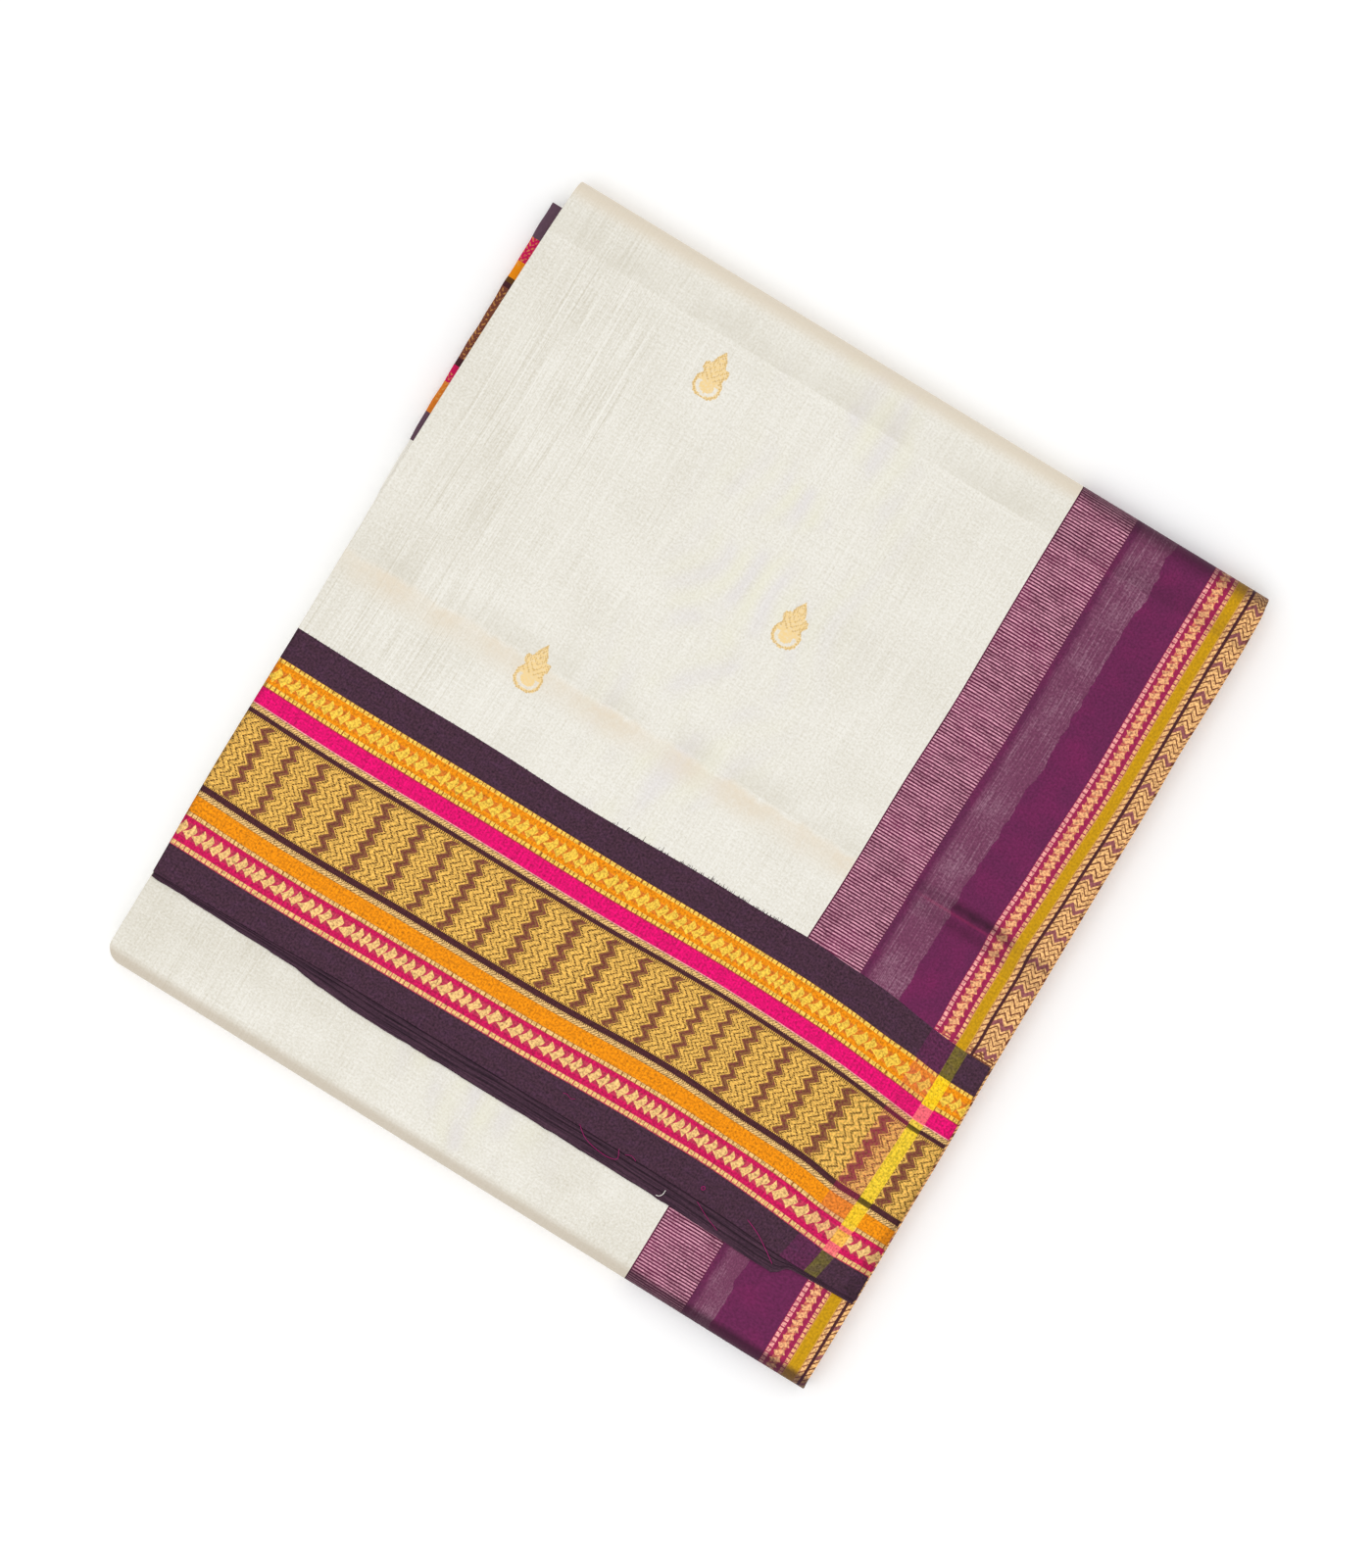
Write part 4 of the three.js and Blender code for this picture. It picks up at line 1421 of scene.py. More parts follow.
    def _gold(self, cloth: Cloth, counted: Value) -> Value:
        """Chains, running leaves and slanted strips, at places counted along their repeats.

        Args:
            cloth: The cloth to draw in.
            counted: Place along the repeats.

        Returns:
            Their mask.
        """
        along = cloth.along
        upper = cloth.chain(counted, 2.375, 0.78) & cloth.within(along, self.upper_chains)
        lower = cloth.chain(counted, 2.33, 0.82) & cloth.within(along, self.lower_chains)
        strips = cloth.slant(counted, along, 1.57, 1.1, 0.76) & cloth.within(along, self.slanted)
        first = self._leaves(cloth, counted + 1.8, 3.8, 4.755)
        second = self._leaves(cloth, counted + 2.6, 80.2, 4.73)
        return upper | lower | strips | first | second

    def _leaves(self, cloth: Cloth, counted: Value, start: float, period: float) -> Value:
        """A band of running leaves, from where it starts along the warp."""
        place = (cloth.along - start) / self.leaf_height
        leaf = cloth.running_leaf(counted, place, period, self.leaf_breadth)
        return leaf & cloth.between(place, 0.0, 1.0)


@dataclass(frozen=True)
class HemFinish:
    """Dark plain weave of the cut ends, with painted shade in the grooves between the plies."""

    name: str = "aubergine_end_cloth"
    grooves: Tuple[float, ...] = (0.0, 2.7, 5.9)

    def build(self) -> Material:
        """Make the material; along runs from 0 at the panel's end to 10 at the lowest ply's.

        Returns:
            The material.
        """
        cloth = Cloth(self.name)
        across, along = cloth.place
        strand = cloth.noise(across * 0.05, along * 1.6, 3.0)
        grain = cloth.grain(1.2)
        colour = cloth.mix(cloth.smooth(strand, 0.35, 0.65), Yarn.HEM_LIGHT, Yarn.HEM_DARK)
        # Painted shade in the grooves between the rolled plies.
        groove = cloth.bell(along, self.grooves[0], 0.9)
        for place in self.grooves[1:]:
            groove = groove | (cloth.bell(along, place, 0.7) * 0.8)
        colour = cloth.mix(groove * 0.85, colour, Yarn.HEM_GROOVE_SHADE)
        colour = cloth.shade(colour, 1.0 + grain * 1.2)
        height = strand * 1.2 + grain * 0.8 + cloth.weave_height() * 0.2
        links = {"Base Color": colour, "Normal": cloth.bump(height, 0.4, 0.0004)}
        return cloth.finish({"Roughness": 0.75, "Specular IOR Level": 0.15}, links)


@dataclass(frozen=True)
class ReverseFinish:
    """Reverse of the banded end: the same bands with floating, broken gold."""

    name: str = "panel_reverse_cloth"
    bands: Tuple[Tuple[float, Yarn], ...] = (
        (0.0, Yarn.REVERSE_DARK), (31.5, Yarn.MAGENTA_DEEP), (43.3, Yarn.ORANGE),
        (52.0, Yarn.ZARI_BROWN), (53.8, Yarn.DARK_LINE), (56.3, Yarn.REVERSE_BROWN),
        (92.4, Yarn.DARK_LINE), (95.6, Yarn.MAGENTA_DEEP), (104.6, Yarn.ORANGE_BROWN),
        (119.3, Yarn.REVERSE_DARK), (133.2, Yarn.CREAM))
    floats: Zones = ((31.5, 46.0), (57.0, 92.0), (100.0, 114.0))
    reach: float = 300.0

    def build(self) -> Material:
        """Make the material.

        Returns:
            The material.
        """
        cloth = Cloth(self.name)
        across, along = cloth.place
        ground = cloth.ramp(along / self.reach, stops(self.bands, 0.0, self.reach))
        fleck = cloth.noise(across * 0.6, along * 0.9, 2.0)
        zigzag = (along + cloth.triangle(across, 6.1, 4.0)) % 2.5
        broken = (zigzag < 1.1) & cloth.smooth(fleck, 0.46, 0.52)
        floating = broken * cloth.within(along, self.floats)
        colour = cloth.mix(floating * 0.6, ground, Yarn.FLOATED_GOLD)
        grain = cloth.noise(across * 1.5, along * 0.2, 3.0, 3.0)
        colour = cloth.tint((grain - 0.3) * 0.4, colour, (0.5, 0.45, 0.45))
        height = grain + broken * 0.5
        links = {"Base Color": colour, "Normal": cloth.bump(height, 0.35, 0.0003)}
        return cloth.finish({"Roughness": 0.68, "Specular IOR Level": 0.15}, links)


@dataclass(frozen=True)
class LeavesFinish:
    """The hidden leaves: cream field, and plum and gold where the border's edge shows."""

    name: str = "inner_leaves_cloth"
    zari_start: float = 78.0
    zigzag_start: float = 86.0

    def build(self) -> Material:
        """Make the material.

        Returns:
            The material.
        """
        cloth = Cloth(self.name)
        across, along = cloth.place
        warp_slub = cloth.noise(across * 1.6, along * 0.018, 3.0)
        colour = cloth.mix((warp_slub - 0.3) * 0.6, Yarn.CREAM, Yarn.CREAM_SHADE)
        zigzag = along - cloth.triangle(across - self.zigzag_start, 5.9, 3.9)
        light = ((zigzag % 2.5) < 1.75) & ((zigzag % 15.4) > 2.1)
        zari = cloth.mix(light, Yarn.BORDER_BROWN, Yarn.BORDER_GOLD)
        border = cloth.mix(across > self.zari_start, Yarn.PLUM, zari)
        colour = cloth.mix(across > 0.0, colour, border)
        grain = cloth.noise(across * 0.8, along * 0.25, 3.0, 3.0)
        links = {"Base Color": colour, "Normal": cloth.bump(grain + warp_slub * 0.5, 0.35, 0.0003)}
        return cloth.finish({"Roughness": 0.68, "Specular IOR Level": 0.15}, links)


@dataclass(frozen=True)
class ThreadFinish:
    """Single yarns: dark tufts, magenta loose ends and a white one."""

    name: str = "loose_yarn"

    def build(self) -> Material:
        """Make the material.

        Returns:
            The material.
        """
        cloth = Cloth(self.name)
        across, along = cloth.place
        rows = [(0.0, Yarn.TUFT.value), (0.3, Yarn.THREAD.value), (0.7, Yarn.WHITE_YARN.value)]
        colour = cloth.ramp(across / 10.0, rows)
        twist = cloth.noise(across, along * 4.0, 1.0)
        colour = cloth.tint((twist - 0.4) * 0.5, colour, (0.6, 0.6, 0.6))
        return cloth.finish({"Roughness": 0.6, "Specular IOR Level": 0.2}, {"Base Color": colour})


# -------- the saree's pieces


@dataclass(frozen=True)
class Cut:
    """A piece's frame node, its slot and what it rests on."""

    node: str
    slot: str
    rests_on: Tuple[str, ...]


def attach(piece: Piece, material: Material) -> None:
    """Give a piece its material and body.

    Args:
        piece: The object.
        material: Its material.
    """
    piece.data.materials.append(material)
    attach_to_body(piece, "root")
    log.info("%s: %d faces", piece.name, len(piece.data.polygons))


def dress(piece: Piece, material: Material, cut: Cut, flat: Tuple[float, float]) -> None:
    """Args:
        piece: The piece.
        material: Its finish.
        cut: Its node, slot and supports.
        flat: Its flat width and length in millimetres.
    """
    attach(piece, material)
    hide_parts(cut.node)
    flat[0] * MM
    flat[1] * MM
    log.info("%s: cut %.0f by %.0f mm", piece.name, *flat)


@dataclass
class OuterTurn:
    """The outermost turn of the roll: top leaf, underside and lower leaf, each as two webs."""

    stack: Stack
    relief: Relief
    field_columns: int = 103
    border_columns: int = 43
    fold_steps: int = 14
    join_reach: float = 24.0
    edge: FoldedEdge = FoldedEdge()

    def build(self) -> float:
        """Make the six pieces.

        Returns:
            Distance along the warp where the lower leaf goes out of sight.
        """
        stack = self.stack
        field, border = FieldFinish().build(), BorderFinish().build()
        top = self._top_path()
        under = self._under_path()
        lower = self._lower_path(under.along[-1])
        tables = {
            "top": (top, stack.top_left, stack.top_seam, stack.top_right, self._join_bend),
            "under": (under, stack.under_left, stack.under_seam, stack.under_right, None),
            "lower": (lower, stack.lower_left, stack.lower_seam, stack.lower_right, None),
        }
        rests = {"top": ("folded_core",), "under": (), "lower": ("folded_core",)}
        pulls = {"top": self._top_pull, "under": lambda across, down: 0.0, "lower": self._lower_pull}
        for name, (path, left, seam, right, bend) in tables.items():
            downs = stack.half - path.y
            edge_left = curve_through(left, downs) + stack.bulge + stack.corner_inset(path.y)
            edge_seam = curve_through(seam, downs)
            edge_right = curve_through(right, downs) - stack.bulge
            weave = self._weave(seam, pulls[name])
            length = abs(path.along[-1] - path.along[0])
            shell = Shell(f"{name}_field_cloth", stack, self.relief, path)
            piece = shell.build(edge_left, edge_seam, self.field_columns, stack.leaf, self.edge, None,
                                weave, bend)
            dress(piece, field, Cut(f"{name}_field", "cream_field", rests[name]),
                  (float(np.mean(edge_seam - edge_left)), length))
            shell = Shell(f"{name}_border_cloth", stack, self.relief, path)
            piece = shell.build(edge_seam, edge_right, self.border_columns, stack.leaf, None, self.edge,
                                weave, bend)
            dress(piece, border, Cut(f"{name}_border", "woven_border", rests[name]),
                  (float(np.mean(edge_right - edge_seam)), length))
        return float(lower.along[-1])

    def _weave(self, seam: Points, pull: PlaceRule) -> WeaveRule:
        """Across from the seam, less what the border's bands are pulled aside, and along as it is.

        Args:
            seam: The seam's x down the stack.
            pull: Gives how far aside, from across and down.

        Returns:
            The rule for a shell.
        """
        def weave(x: Array, down: Array, along: Array) -> Tuple[Array, Array]:
            """Coordinates of the weave."""
            across = x - curve_through(seam, down)
            return across - pull(across, down), along
        return weave

    def _top_pull(self, across: Array, down: Array) -> Array:
        """How far the middle crease pulls the top leaf's bands aside."""
        share = np.clip(across / self.stack.pull_reach, 0.0, 1.0)
        return share * curve_through(self.stack.border_pull, down)

    def _lower_pull(self, across: Array, _: Array) -> Array:
        """How far out the lower leaf's bands lie, against the top leaf's."""
        return curve_through(self.stack.lower_drift, across)

    def _join_bend(self, x: Array, down: Array) -> Array:
        """Shift of the last stations on to the join with the end panel."""
        share = smooth_step((down - self.stack.join_down + self.join_reach) / self.join_reach)
        return share * (curve_through(self.stack.join_line, x) - self.stack.join_down)

    def _top_path(self) -> Path:
        """From the far fold's middle to the join.

        Returns:
            The stations.
        """
        stack = self.stack
        fold = fold_run(stack.far_centre, stack.far_radius, stack.far_radius, 0.0, math.pi / 2,
                        self.fold_steps)
        downs = self.relief.stations(stack.far_end, stack.join_down)
        return Path.chain([fold, flat_run(stack, downs, stack.height, 1.0)], -stack.far_reach, 1.0)

    def _under_path(self) -> Path:
        """From the far fold's middle, under the stack, to the near fold's.

        Returns:
            The stations.
        """
        stack = self.stack
        first = fold_run(stack.far_centre, stack.far_radius, stack.far_radius, 0.0, -math.pi / 2,
                         self.fold_steps)
        downs = np.linspace(stack.far_end, stack.near_end, 125)
        last = fold_run(stack.near_centre, stack.near_radius, stack.near_radius, -math.pi / 2, -math.pi,
                        self.fold_steps)
        return Path.chain([first, flat_run(stack, downs, 0.0, -1.0), last], -stack.far_reach, -1.0)

    def _lower_path(self, start: float) -> Path:
        """From the near fold's middle to where the lower leaf goes in under the end panel.

        Args:
            start: Distance along the warp at the fold.

        Returns:
            The stations.
        """
        stack = self.stack
        fold = fold_run(stack.near_centre, stack.near_radius, stack.near_radius, math.pi, math.pi / 2,
                        self.fold_steps)
        downs = self.relief.stations(stack.underlap_down, stack.near_end)[::-1]
        return Path.chain([fold, flat_run(stack, downs, stack.lower_top, 1.0)], start, -1.0)


@dataclass
class EndPanel:
    """The end panel on top of the stack, and the cut ends of the plies under it."""

    stack: Stack
    relief: Relief
    columns: int = 145
    join_reach: float = 16.0
    end_radius: float = 0.6
    end_steps: Tuple[float, ...] = (0.1, 0.25, 0.45, 0.7)
    hem_overlap: float = 4.0
    hem_thickness: float = 1.0
    hem_seam: float = 78.6
    hem_face: float = 0.8
    # The hem's rolled ends: place from the panel's end to the lowest ply's, half width, and depth.
    hem_rolls: Tuple[Tuple[float, float, float], ...] = ((0.12, 0.16, 0.04), (0.43, 0.16, 0.14),
                                                         (0.79, 0.22, 0.32))
    edge: FoldedEdge = FoldedEdge()
    # Where the bands cross the cloth: x, then the first chain, two dark lines and the last chain.
    lines: Tuple[Tuple[float, float, float, float, float], ...] = (
        (-173, 241.5, 267.3, 307.0, 333.1), (-139, 241.9, 268.2, 308.1, 333.7),
        (-72, 241.7, 268.0, 307.4, 333.3), (-5, 241.9, 268.2, 307.2, 332.6),
        (62, 241.5, 266.9, 305.1, 331.2), (96, 242.1, 267.8, 306.6, 331.4),
        (113, 243.2, 268.4, 307.0, 332.4), (129, 244.7, 269.6, 307.9, 333.7),
        (146, 245.9, 271.3, 310.2, 335.2), (155, 247.0, 272.2, 310.2, 336.0),
        (173, 247.4, 272.6, 310.8, 335.8))
    band_places: Tuple[float, ...] = (0.0, 26.1, 65.6, 91.4)
    stripe_lean: Points = ((228, 0.0), (260, 0.4), (294, -0.8), (315, -1.7), (332, -2.9), (342, -4.2),
                           (348, -5.5))
    lean_start: float = 90.0
    lean_reach: float = 40.0

    def weave(self, x: Array, down: Array, along: Array) -> Tuple[Array, Array]:
        """Across from the seam, and along counted from the first chain.

        Args:
            x: Places across the stack.
            down: Places down the stack.
            along: Distance along the path, which the bands don't follow; not used.

        Returns:
            Across and along.
        """
        lines = [curve_through([(row[0], row[order]) for row in self.lines], x) for order in range(1, 5)]
        bands = self.band_places
        read = bands[0] + down - lines[0]
        for order in range(3):
            share = (down - lines[order]) / (lines[order + 1] - lines[order])
            value = bands[order] + share * (bands[order + 1] - bands[order])
            read = np.where(down >= lines[order], value, read)
        read = np.where(down >= lines[3], bands[3] + down - lines[3], read)
        lean = curve_through(self.stripe_lean, down)
        near_crossing = smooth_step((x - self.lean_start) / self.lean_reach)
        across = x - curve_through(self.stack.top_seam, down) - lean * near_crossing
        return across, read

    def build(self, loose: Sequence[Piece]) -> None:
        """Make the panel and its hem.

        Args:
            loose: Threads that lie on the panel; not used.
        """
        stack = self.stack
        downs = self.relief.stations(stack.join_down, stack.pallu_end, 2.4)
        downs = np.unique(np.concatenate([downs, stack.pallu_end - np.array(self.end_steps)]))
        path = Path.chain([flat_run(stack, downs, stack.height, 1.0)], 0.0, 1.0)
        left = curve_through(stack.top_left, downs) + stack.bulge
        right = curve_through(stack.top_right, downs) - stack.bulge
        shell = Shell("pallu_cloth", stack, self.relief, path)
        panel = shell.build(left, right, self.columns, stack.leaf, self.edge, self.edge, self.weave,
                            self._bend, rounded=(0.0, self.end_radius))
        hem = self._hem()
        dress(panel, PalluFinish().build(), Cut("pallu", "end_panel", ("lower_field_cloth",)),
              (float(np.mean(right - left)), stack.pallu_end - stack.join_down))

    def _bend(self, x: Array, down: Array) -> Array:
        """Shift of the first stations on to the join, and of the last on to the panel's end.

        Args:
            x: Places across the stack.
            down: Places down the stack.

        Returns:
            The shift at each place.
        """
        stack = self.stack
        share = 1 - smooth_step((down - stack.join_down) / self.join_reach)
        first = share * (curve_through(stack.join_line, x) - stack.join_down)
        share = smooth_step((down - stack.pallu_end + stack.end_reach) / stack.end_reach)
        return first + share * (curve_through(stack.end_line, x) - stack.pallu_end)

    def _hem(self) -> Piece:
        """Three free ends of plies, each rolled a little and one past another.

        Returns:
            The object.
        """
        stack = self.stack
        start = stack.pallu_end - self.hem_overlap
        downs = np.linspace(start, stack.hem_down, 40)
        top = stack.lower_top + stack.gap + self.hem_thickness
        path = Path.chain([flat_run(stack, downs, top, 1.0)], 0.0, 1.0)
        left = curve_through(stack.top_left, downs) + stack.bulge + 0.4
        right = curve_through(stack.top_right, downs) - stack.bulge - 0.3

        def reach(x: Array, down: Array) -> Array:
            """Shift of the stations on to the free ends' line."""
            share = np.clip((down - start) / (stack.hem_down - start), 0.0, 1.0)
            ragged = 0.16 * np.sin(x / 3.1) + 0.12 * np.sin(x / 1.3 + 1.0)
            return share * (curve_through(stack.hem_line, x) - stack.hem_down + ragged)

        def place(x: Array, down: Array) -> Array:
            """How far a point lies from the panel's end to the lowest ply's, from 0 to 1.

            Args:
                x: Places across the stack.
                down: Places down the stack.

            Returns:
                The share at each place.
            """
            end = curve_through(stack.end_line, x)
            share = np.clip((down - end) / (curve_through(stack.hem_line, x) - end), 0.0, 1.0)
            wander = 0.05 * np.sin(x / 23.0) + 0.025 * np.sin(x / 7.0 + 1.0)
            return share + wander * np.sin(math.pi * share)

        def rolls(x: Array, down: Array) -> Array:
            """How far the upper face is set in, from the rolled ends and the grooves between.

            Args:
                x: Places across the stack.
                down: Places down the stack.

            Returns:
                The inset at each place.
            """
            share = place(x, down)
            face = np.full_like(share, self.hem_face)
            for middle, width, depth in self.hem_rolls:
                roll = np.sqrt(np.maximum(1 - ((share - middle) / width) ** 2, 0.0))
                face = np.minimum(face, self.hem_face + (depth - self.hem_face) * roll)
            return face

        def weave(x: Array, down: Array, along: Array) -> Tuple[Array, Array]:
            """Across from the seam, and the place from the panel's end to the lowest ply's, times ten."""
            return x - self.hem_seam, 10.0 * place(x, down)

        shell = Shell("hem_plies", stack, self.relief, path)
        piece = shell.build(left, right, self.columns, self.hem_thickness, self.edge, self.edge, weave,
                            reach, rolls)
        attach(piece, HemFinish().build())
        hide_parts("pallu_hem")
        return piece


@dataclass
class InnerLeaves:
    """The rest of the cloth, rolled inside the outer turn, and its banded inner end."""

    stack: Stack
    relief: Relief
    turns: int = 7
    upper_leaf: float = 0.857
    lower_leaf: float = 1.114
    inner_top: float = 10.5
    inner_end_down: float = 13.1
    inner_stop_down: float = 285.0
    inner_right: float = -131.0
    inner_counted_from: float = -178.0
    columns: int = 13
    inner_columns: int = 25
    border_edge: float = 96.0
    peep_start: float = 240.0
    peep_reach: float = 60.0
    edge: FoldedEdge = FoldedEdge()
    left_insets: Points = ((0, 1.4), (1, 2.2), (2, 0.9), (3, 1.9), (4, 2.6), (5, 1.2), (6, 2.8), (7, 1.5),
                           (8, 0.9), (9, 2.3), (10, 1.6), (11, 2.1), (12, 1.0), (13, 2.4), (14, 1.5))
    right_insets: Points = ((0, -0.6), (1, 1.6), (2, 0.8), (3, 2.3), (4, 1.1), (5, 2.5), (6, 1.3),
                            (7, 0.8), (8, 2.2), (9, 1.0), (10, 1.7), (11, 1.2), (12, 2.3), (13, 0.9),
                            (14, 1.8))

    def build(self, start: float) -> None:
        """Make the rolled leaves and the inner end.

        Args:
            start: Distance along the warp where the lower leaf goes out of sight.
        """
        stack = self.stack
        rows, orders = self._spiral()
        path = Path.chain([rows], start, -1.0)
        downs = stack.half - path.y
        orders = orders[:len(path.y)]
        corner = stack.corner_inset(path.y)
        left = curve_through(stack.top_left, downs) + stack.bulge
        left = left + curve_through(self.left_insets, orders) + 0.8 * corner
        right = curve_through(stack.top_right, downs) - curve_through(self.right_insets, orders)
        right = right - stack.bulge + 0.6 * np.sin(downs / 90.0 + orders)
        peeping = smooth_step((downs - self.peep_start) / self.peep_reach) * smooth_step(1 - orders / 0.6)
        right = right + peeping * (curve_through(stack.lower_right, downs) - 0.3 - right)
        shell = Shell("hidden_leaves", stack, self.relief, path)

        def weave(x: Array, down: Array, along: Array) -> Tuple[Array, Array]:
            """Across counted back from the right edge, so that the border keeps its width."""
            return x - right[:, None] + self.border_edge, along

        piece = shell.build(left, right, self.columns, self.upper_leaf, self.edge, self.edge, weave)
        length = abs(path.along[-1] - path.along[0])
        dress(piece, LeavesFinish().build(), Cut("folded_core", "inner_leaves", ("under_field_cloth",)),
              (float(np.mean(right - left)), length))
        self._inner_end()

    def _spiral(self) -> Tuple[Array, Array]:
        """Stations of the roll from its outermost hidden leaf inwards, and each one's order.

        Returns:
            The stations' rows and their orders.
        """
        stack = self.stack
        far, near = stack.far_centre, stack.near_centre
        low = stack.leaf + stack.gap
        runs: List[Array] = []
        orders: List[Array] = []
        entry = stack.underlap_down
        for turn in range(self.turns):
            upper = stack.lower_top - turn * self.upper_leaf
            lower = low + turn * self.lower_leaf
            next_upper = upper - self.upper_leaf
            out = flat_run(stack, np.linspace(entry, stack.far_end, 40), upper, 1.0)
            centre, radius = (upper + lower) / 2, (upper - lower) / 2
            far_fold = fold_run(far, centre, radius, math.pi / 2, -math.pi / 2, 12)
            back = flat_run(stack, np.linspace(stack.far_end, stack.near_end, 48), lower, -1.0)
            centre, radius = (next_upper + lower) / 2, (next_upper - lower) / 2
            near_fold = fold_run(near, centre, radius, -math.pi / 2, -3 * math.pi / 2, 12)
            entry = stack.near_end
            parts = [out, far_fold, back]
            if turn + 1 < self.turns:
                parts.append(near_fold)
            for order, part in enumerate(parts):
                runs.append(part if order == 0 and turn == 0 else part[1:])
                flat_order = 2 * turn + (order // 2)
                begin, end = flat_order, flat_order + (order % 2)
                ramp = np.linspace(begin, end, len(part))
                orders.append(ramp if order == 0 and turn == 0 else ramp[1:])
        return np.concatenate(runs), np.concatenate(orders)

    def _inner_end(self) -> None:
        """The banded inner end of the cloth, which sticks out at the left."""
        stack = self.stack
        downs = np.linspace(self.inner_end_down, self.inner_stop_down, 110)
        path = Path.chain([flat_run(stack, downs, self.inner_top, 1.0)], self.inner_end_down, 1.0)
        left = curve_through(stack.inner_left, downs) + stack.bulge
        left = left + 0.12 * np.sin(downs / 5.0) + 0.1 * np.sin(downs / 2.3)
        right = np.full(len(downs), self.inner_right)

        def weave(x: Array, down: Array, along: Array) -> Tuple[Array, Array]:
            """Across from the left, and along from the far fold's end."""
            return x - self.inner_counted_from, down + stack.far_reach

        shell = Shell("inner_end_cloth", stack, self.relief, path)
        piece = shell.build(left, right, self.inner_columns, stack.leaf, self.edge, None, weave,
                            rounded=(0.5, 0.0))
        dress(piece, ReverseFinish().build(), Cut("inner_end", "panel_reverse", ("hidden_leaves",)),
              (float(np.mean(right - left)), self.inner_stop_down - self.inner_end_down))


@dataclass
class LooseYarns:
    """Dark tufts along the join, and a few loose ends on the panel and its hem."""

    stack: Stack
    relief: Relief
    tuft_radius: float = 0.08
    seed: int = 11

    def build(self) -> List[Piece]:
        """Make the tufts and the loose ends.

        Returns:
            Both objects.
        """
        made = [self._tufts(), self._ends()]
        material = ThreadFinish().build()
        for piece in made:
            attach(piece, material)
        return made

    def _surface(self, x: Array, down: Array, top: float) -> Array:
        """Points on a leaf whose ideal height is top."""
        x, down = np.asarray(x, dtype=float), np.asarray(down, dtype=float)
        return self.stack.lay(x, self.stack.half - down, np.full(x.shape, top), self.relief)

    def _tufts(self) -> Piece:
        """Short dark ends that stick out of the join over the cream.

        Returns:
            The object.
        """
        strands = Strands("join_tufts")
        rng = np.random.default_rng(self.seed)
        spans = ((-176, 70, 120, 0.35), (-20, 75, 60, 0.6), (18, 66, 46, 1.3), (-20, 60, 12, 2.2))
        for low, high, count, length in spans:
            for place in rng.uniform(low, high, count):
                reach = length * rng.uniform(0.5, 1.2)
                start = float(curve_through(self.stack.join_line, np.array(place))) + 0.3
                share = np.linspace(0.0, 1.0, 5)
                lean = rng.uniform(-0.25, 0.25)
                xs = place + lean * reach * share ** 2
                route = self._surface(xs, start - (reach + 0.3) * share, self.stack.height)
                route[:, 2] += self.tuft_radius * 0.6
                strands.add(route, self.tuft_radius, 0.1)
        return strands.build()

    def _ends(self) -> Piece:
        """Loose ends of sewing yarn, each through a few points of x, down and lift.

        Returns:
            The object.
        """
        strands = Strands("loose_yarn_ends")
        magenta, white = 0.5, 0.9
        routes = (
            (magenta, 0.12, ((37.0, 345.2, 0.1), (42.0, 348.9, 0.6), (48.0, 350.6, 0.4),
                             (54.5, 351.0, 0.3), (58.5, 349.6, 0.5), (57.0, 345.5, 0.9))),
            (magenta, 0.10, ((60.5, 346.4, 0.1), (63.0, 345.3, 0.4), (66.0, 346.3, 0.1))),
            (magenta, 0.13, ((119.5, 342.6, 0.2), (126.5, 345.6, 0.8), (133.0, 349.6, 1.0),
                             (138.5, 353.4, 0.4))),
            (magenta, 0.10, ((97.0, 347.2, 0.2), (104.0, 350.8, 0.5), (111.0, 353.4, 0.3))),
            (magenta, 0.16, ((95.5, 341.0, 0.3), (96.3, 341.9, 0.3), (97.2, 341.1, 0.3),
                             (96.4, 340.2, 0.3), (95.5, 341.0, 0.3))),
            (magenta, 0.10, ((24.0, 337.6, 0.1), (26.0, 337.2, 0.2), (28.0, 337.9, 0.1),
                             (30.0, 337.1, 0.2))),
            (white, 0.16, ((83.2, 350.2, 0.2), (83.0, 352.4, 0.5), (82.0, 353.8, 0.4),
                           (80.6, 354.2, 0.2))),
        )
        for shade, radius, places in routes:
            order = np.arange(len(places), dtype=float)
            fine = np.linspace(0.0, order[-1], 8 * len(places))
            columns = [curve_through(list(zip(order, [place[axis] for place in places])), fine)
                       for axis in range(3)]
            route = self._surface(columns[0], columns[1], self.stack.height)
            route[:, 2] += columns[2] + radius - 0.3 * smooth_step((columns[1] - 346) / 2)
            strands.add(route, radius, shade)
        return strands.build()


# -------- the studio


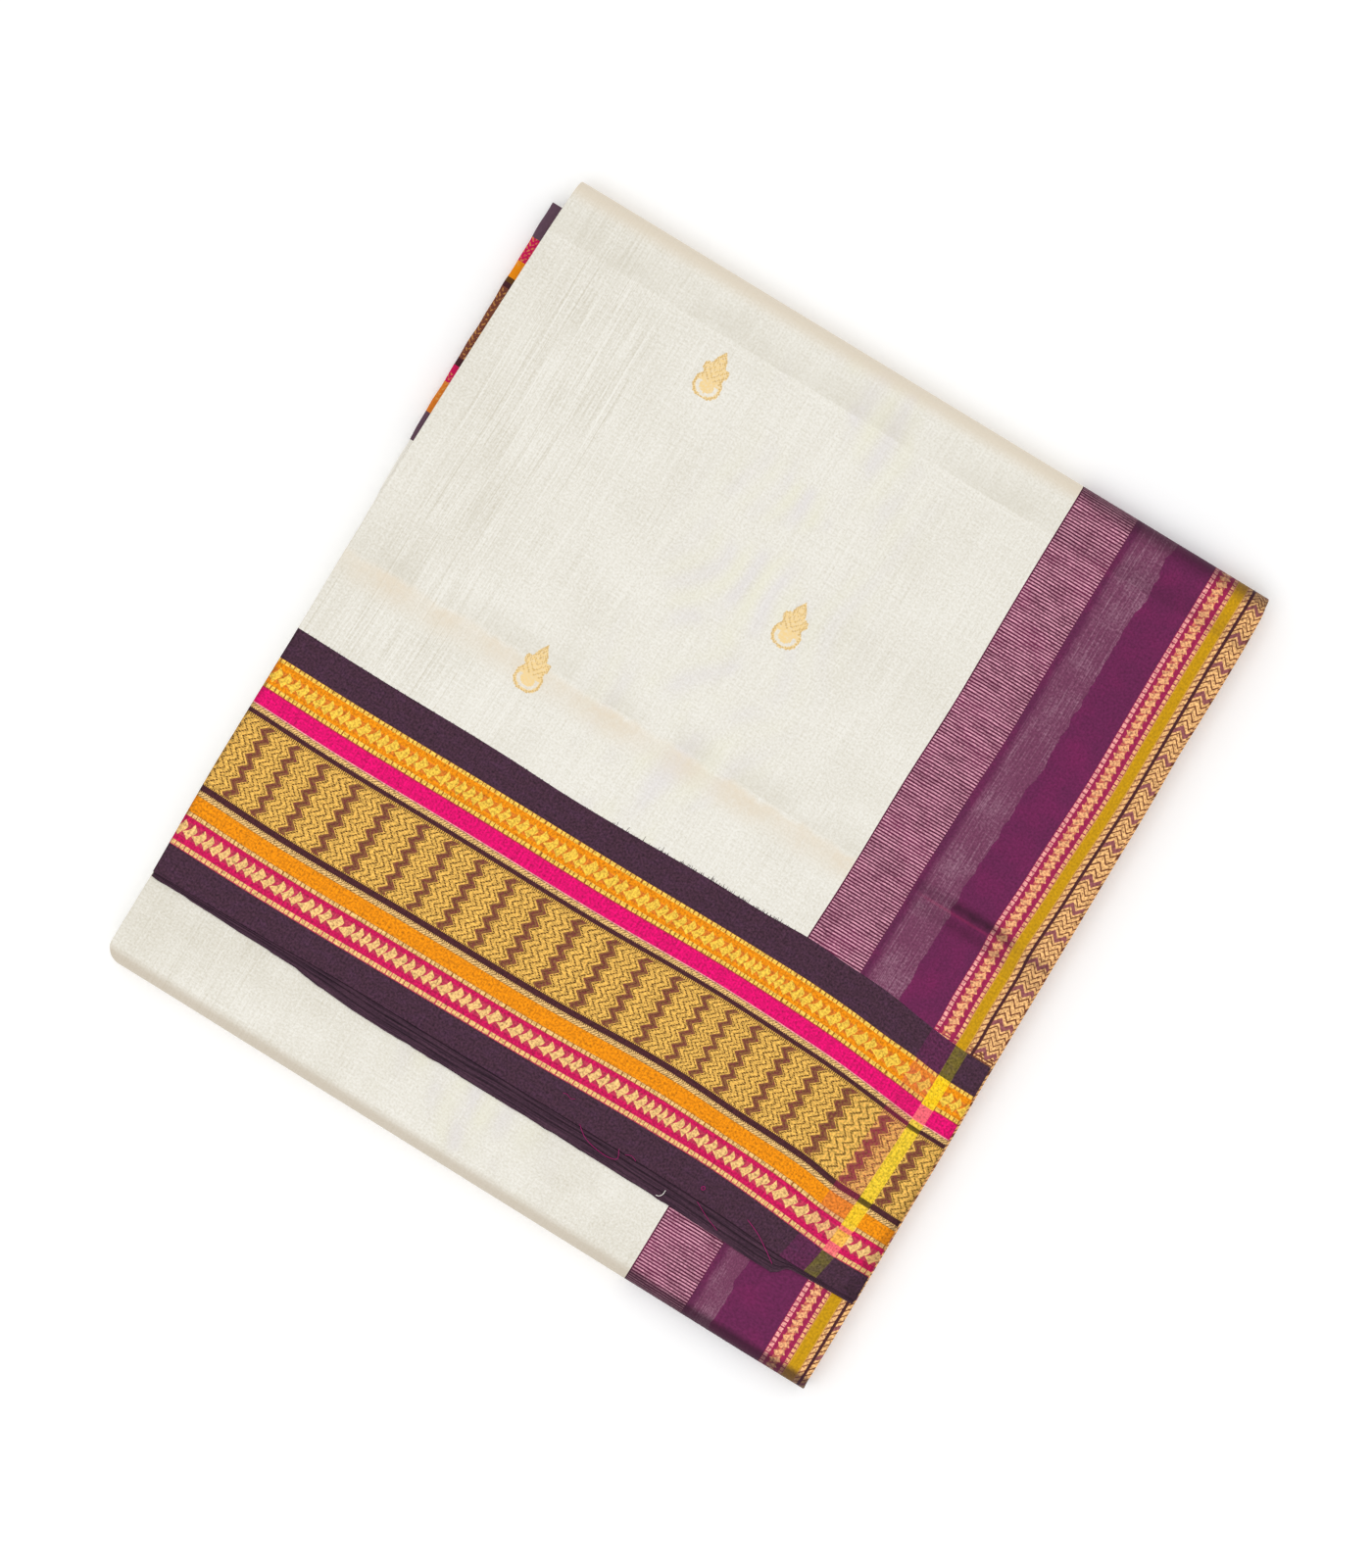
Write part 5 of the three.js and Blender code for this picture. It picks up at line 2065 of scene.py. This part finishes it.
@dataclass(frozen=True)
class Studio:
    """Camera, lights and floor."""

    azimuth: float = 31.4
    elevation: float = 88.4
    distance: float = 2.4
    target: Tuple[float, float, float] = (0.0001, -0.0019, 0.0155)
    view_height: float = 0.672
    sensor: float = 36.0
    farthest: float = 20.0
    sky: float = 0.86
    lamp_power: float = 9.0
    lamp_size: Tuple[float, float] = (1.6, 1.2)
    lamp_place: Tuple[float, float, float] = (-0.2, -0.9, 1.9)
    floor_reach: float = 6.0
    floor_glow: float = 0.07

    def build(self) -> None:
        """Set the whole scene up."""
        self._camera()
        self._lights()
        self._floor()
        bpy.context.scene.view_settings.view_transform = "Standard"

    def _camera(self) -> None:
        """Place the camera; the frame is taller than wide."""
        data = bpy.data.cameras.new("camera")
        data.sensor_fit = "VERTICAL"
        data.sensor_height = self.sensor
        data.lens = self.sensor * self.distance / self.view_height
        data.clip_end = self.farthest
        turn, rise = math.radians(self.azimuth), math.radians(self.elevation)
        back = Vector((math.sin(turn) * math.cos(rise), -math.cos(turn) * math.cos(rise), math.sin(rise)))
        camera = add_object("camera", data)
        camera.location = Vector(self.target) + back * self.distance
        camera.rotation_euler = (-back).to_track_quat("-Z", "Y").to_euler()
        bpy.context.scene.camera = camera

    def _lights(self) -> None:
        """A white sky and one broad lamp from the near side."""
        world = bpy.data.worlds.new("studio")
        world.use_nodes = True
        background = world.node_tree.nodes["Background"]
        background.inputs["Color"].default_value = (1.0, 1.0, 1.0, 1.0)
        background.inputs["Strength"].default_value = self.sky
        bpy.context.scene.world = world
        data = bpy.data.lights.new("lamp", "AREA")
        data.shape = "RECTANGLE"
        data.size, data.size_y = self.lamp_size
        data.energy = self.lamp_power
        lamp = add_object("lamp", data)
        lamp.location = Vector(self.lamp_place)
        lamp.rotation_euler = (-lamp.location).to_track_quat("-Z", "Y").to_euler()

    def _floor(self) -> None:
        """A plain pale floor that the stack lies on."""
        size = self.floor_reach
        mesh = bpy.data.meshes.new("floor")
        corners = [(-size, -size, 0.0), (size, -size, 0.0), (size, size, 0.0), (-size, size, 0.0)]
        mesh.from_pydata(corners, [], [(0, 1, 2, 3)])
        paint = {"Base Color": (1.0, 1.0, 1.0), "Roughness": 1.0, "Emission Color": (1.0, 1.0, 1.0),
                 "Emission Strength": self.floor_glow}
        mesh.materials.append(Shader("pale_floor").finish(paint, {}))
        add_object("floor", mesh)


def main() -> None:
    """Build the studio and the saree."""
    logging.basicConfig(level=logging.INFO, format="%(message)s")
    stack, relief = Stack(), Relief()
    Studio().build()
    hidden_from = OuterTurn(stack, relief).build()
    InnerLeaves(stack, relief).build(hidden_from)
    loose = LooseYarns(stack, relief).build()
    EndPanel(stack, relief).build(loose)


if __name__ == "__main__":
    main()
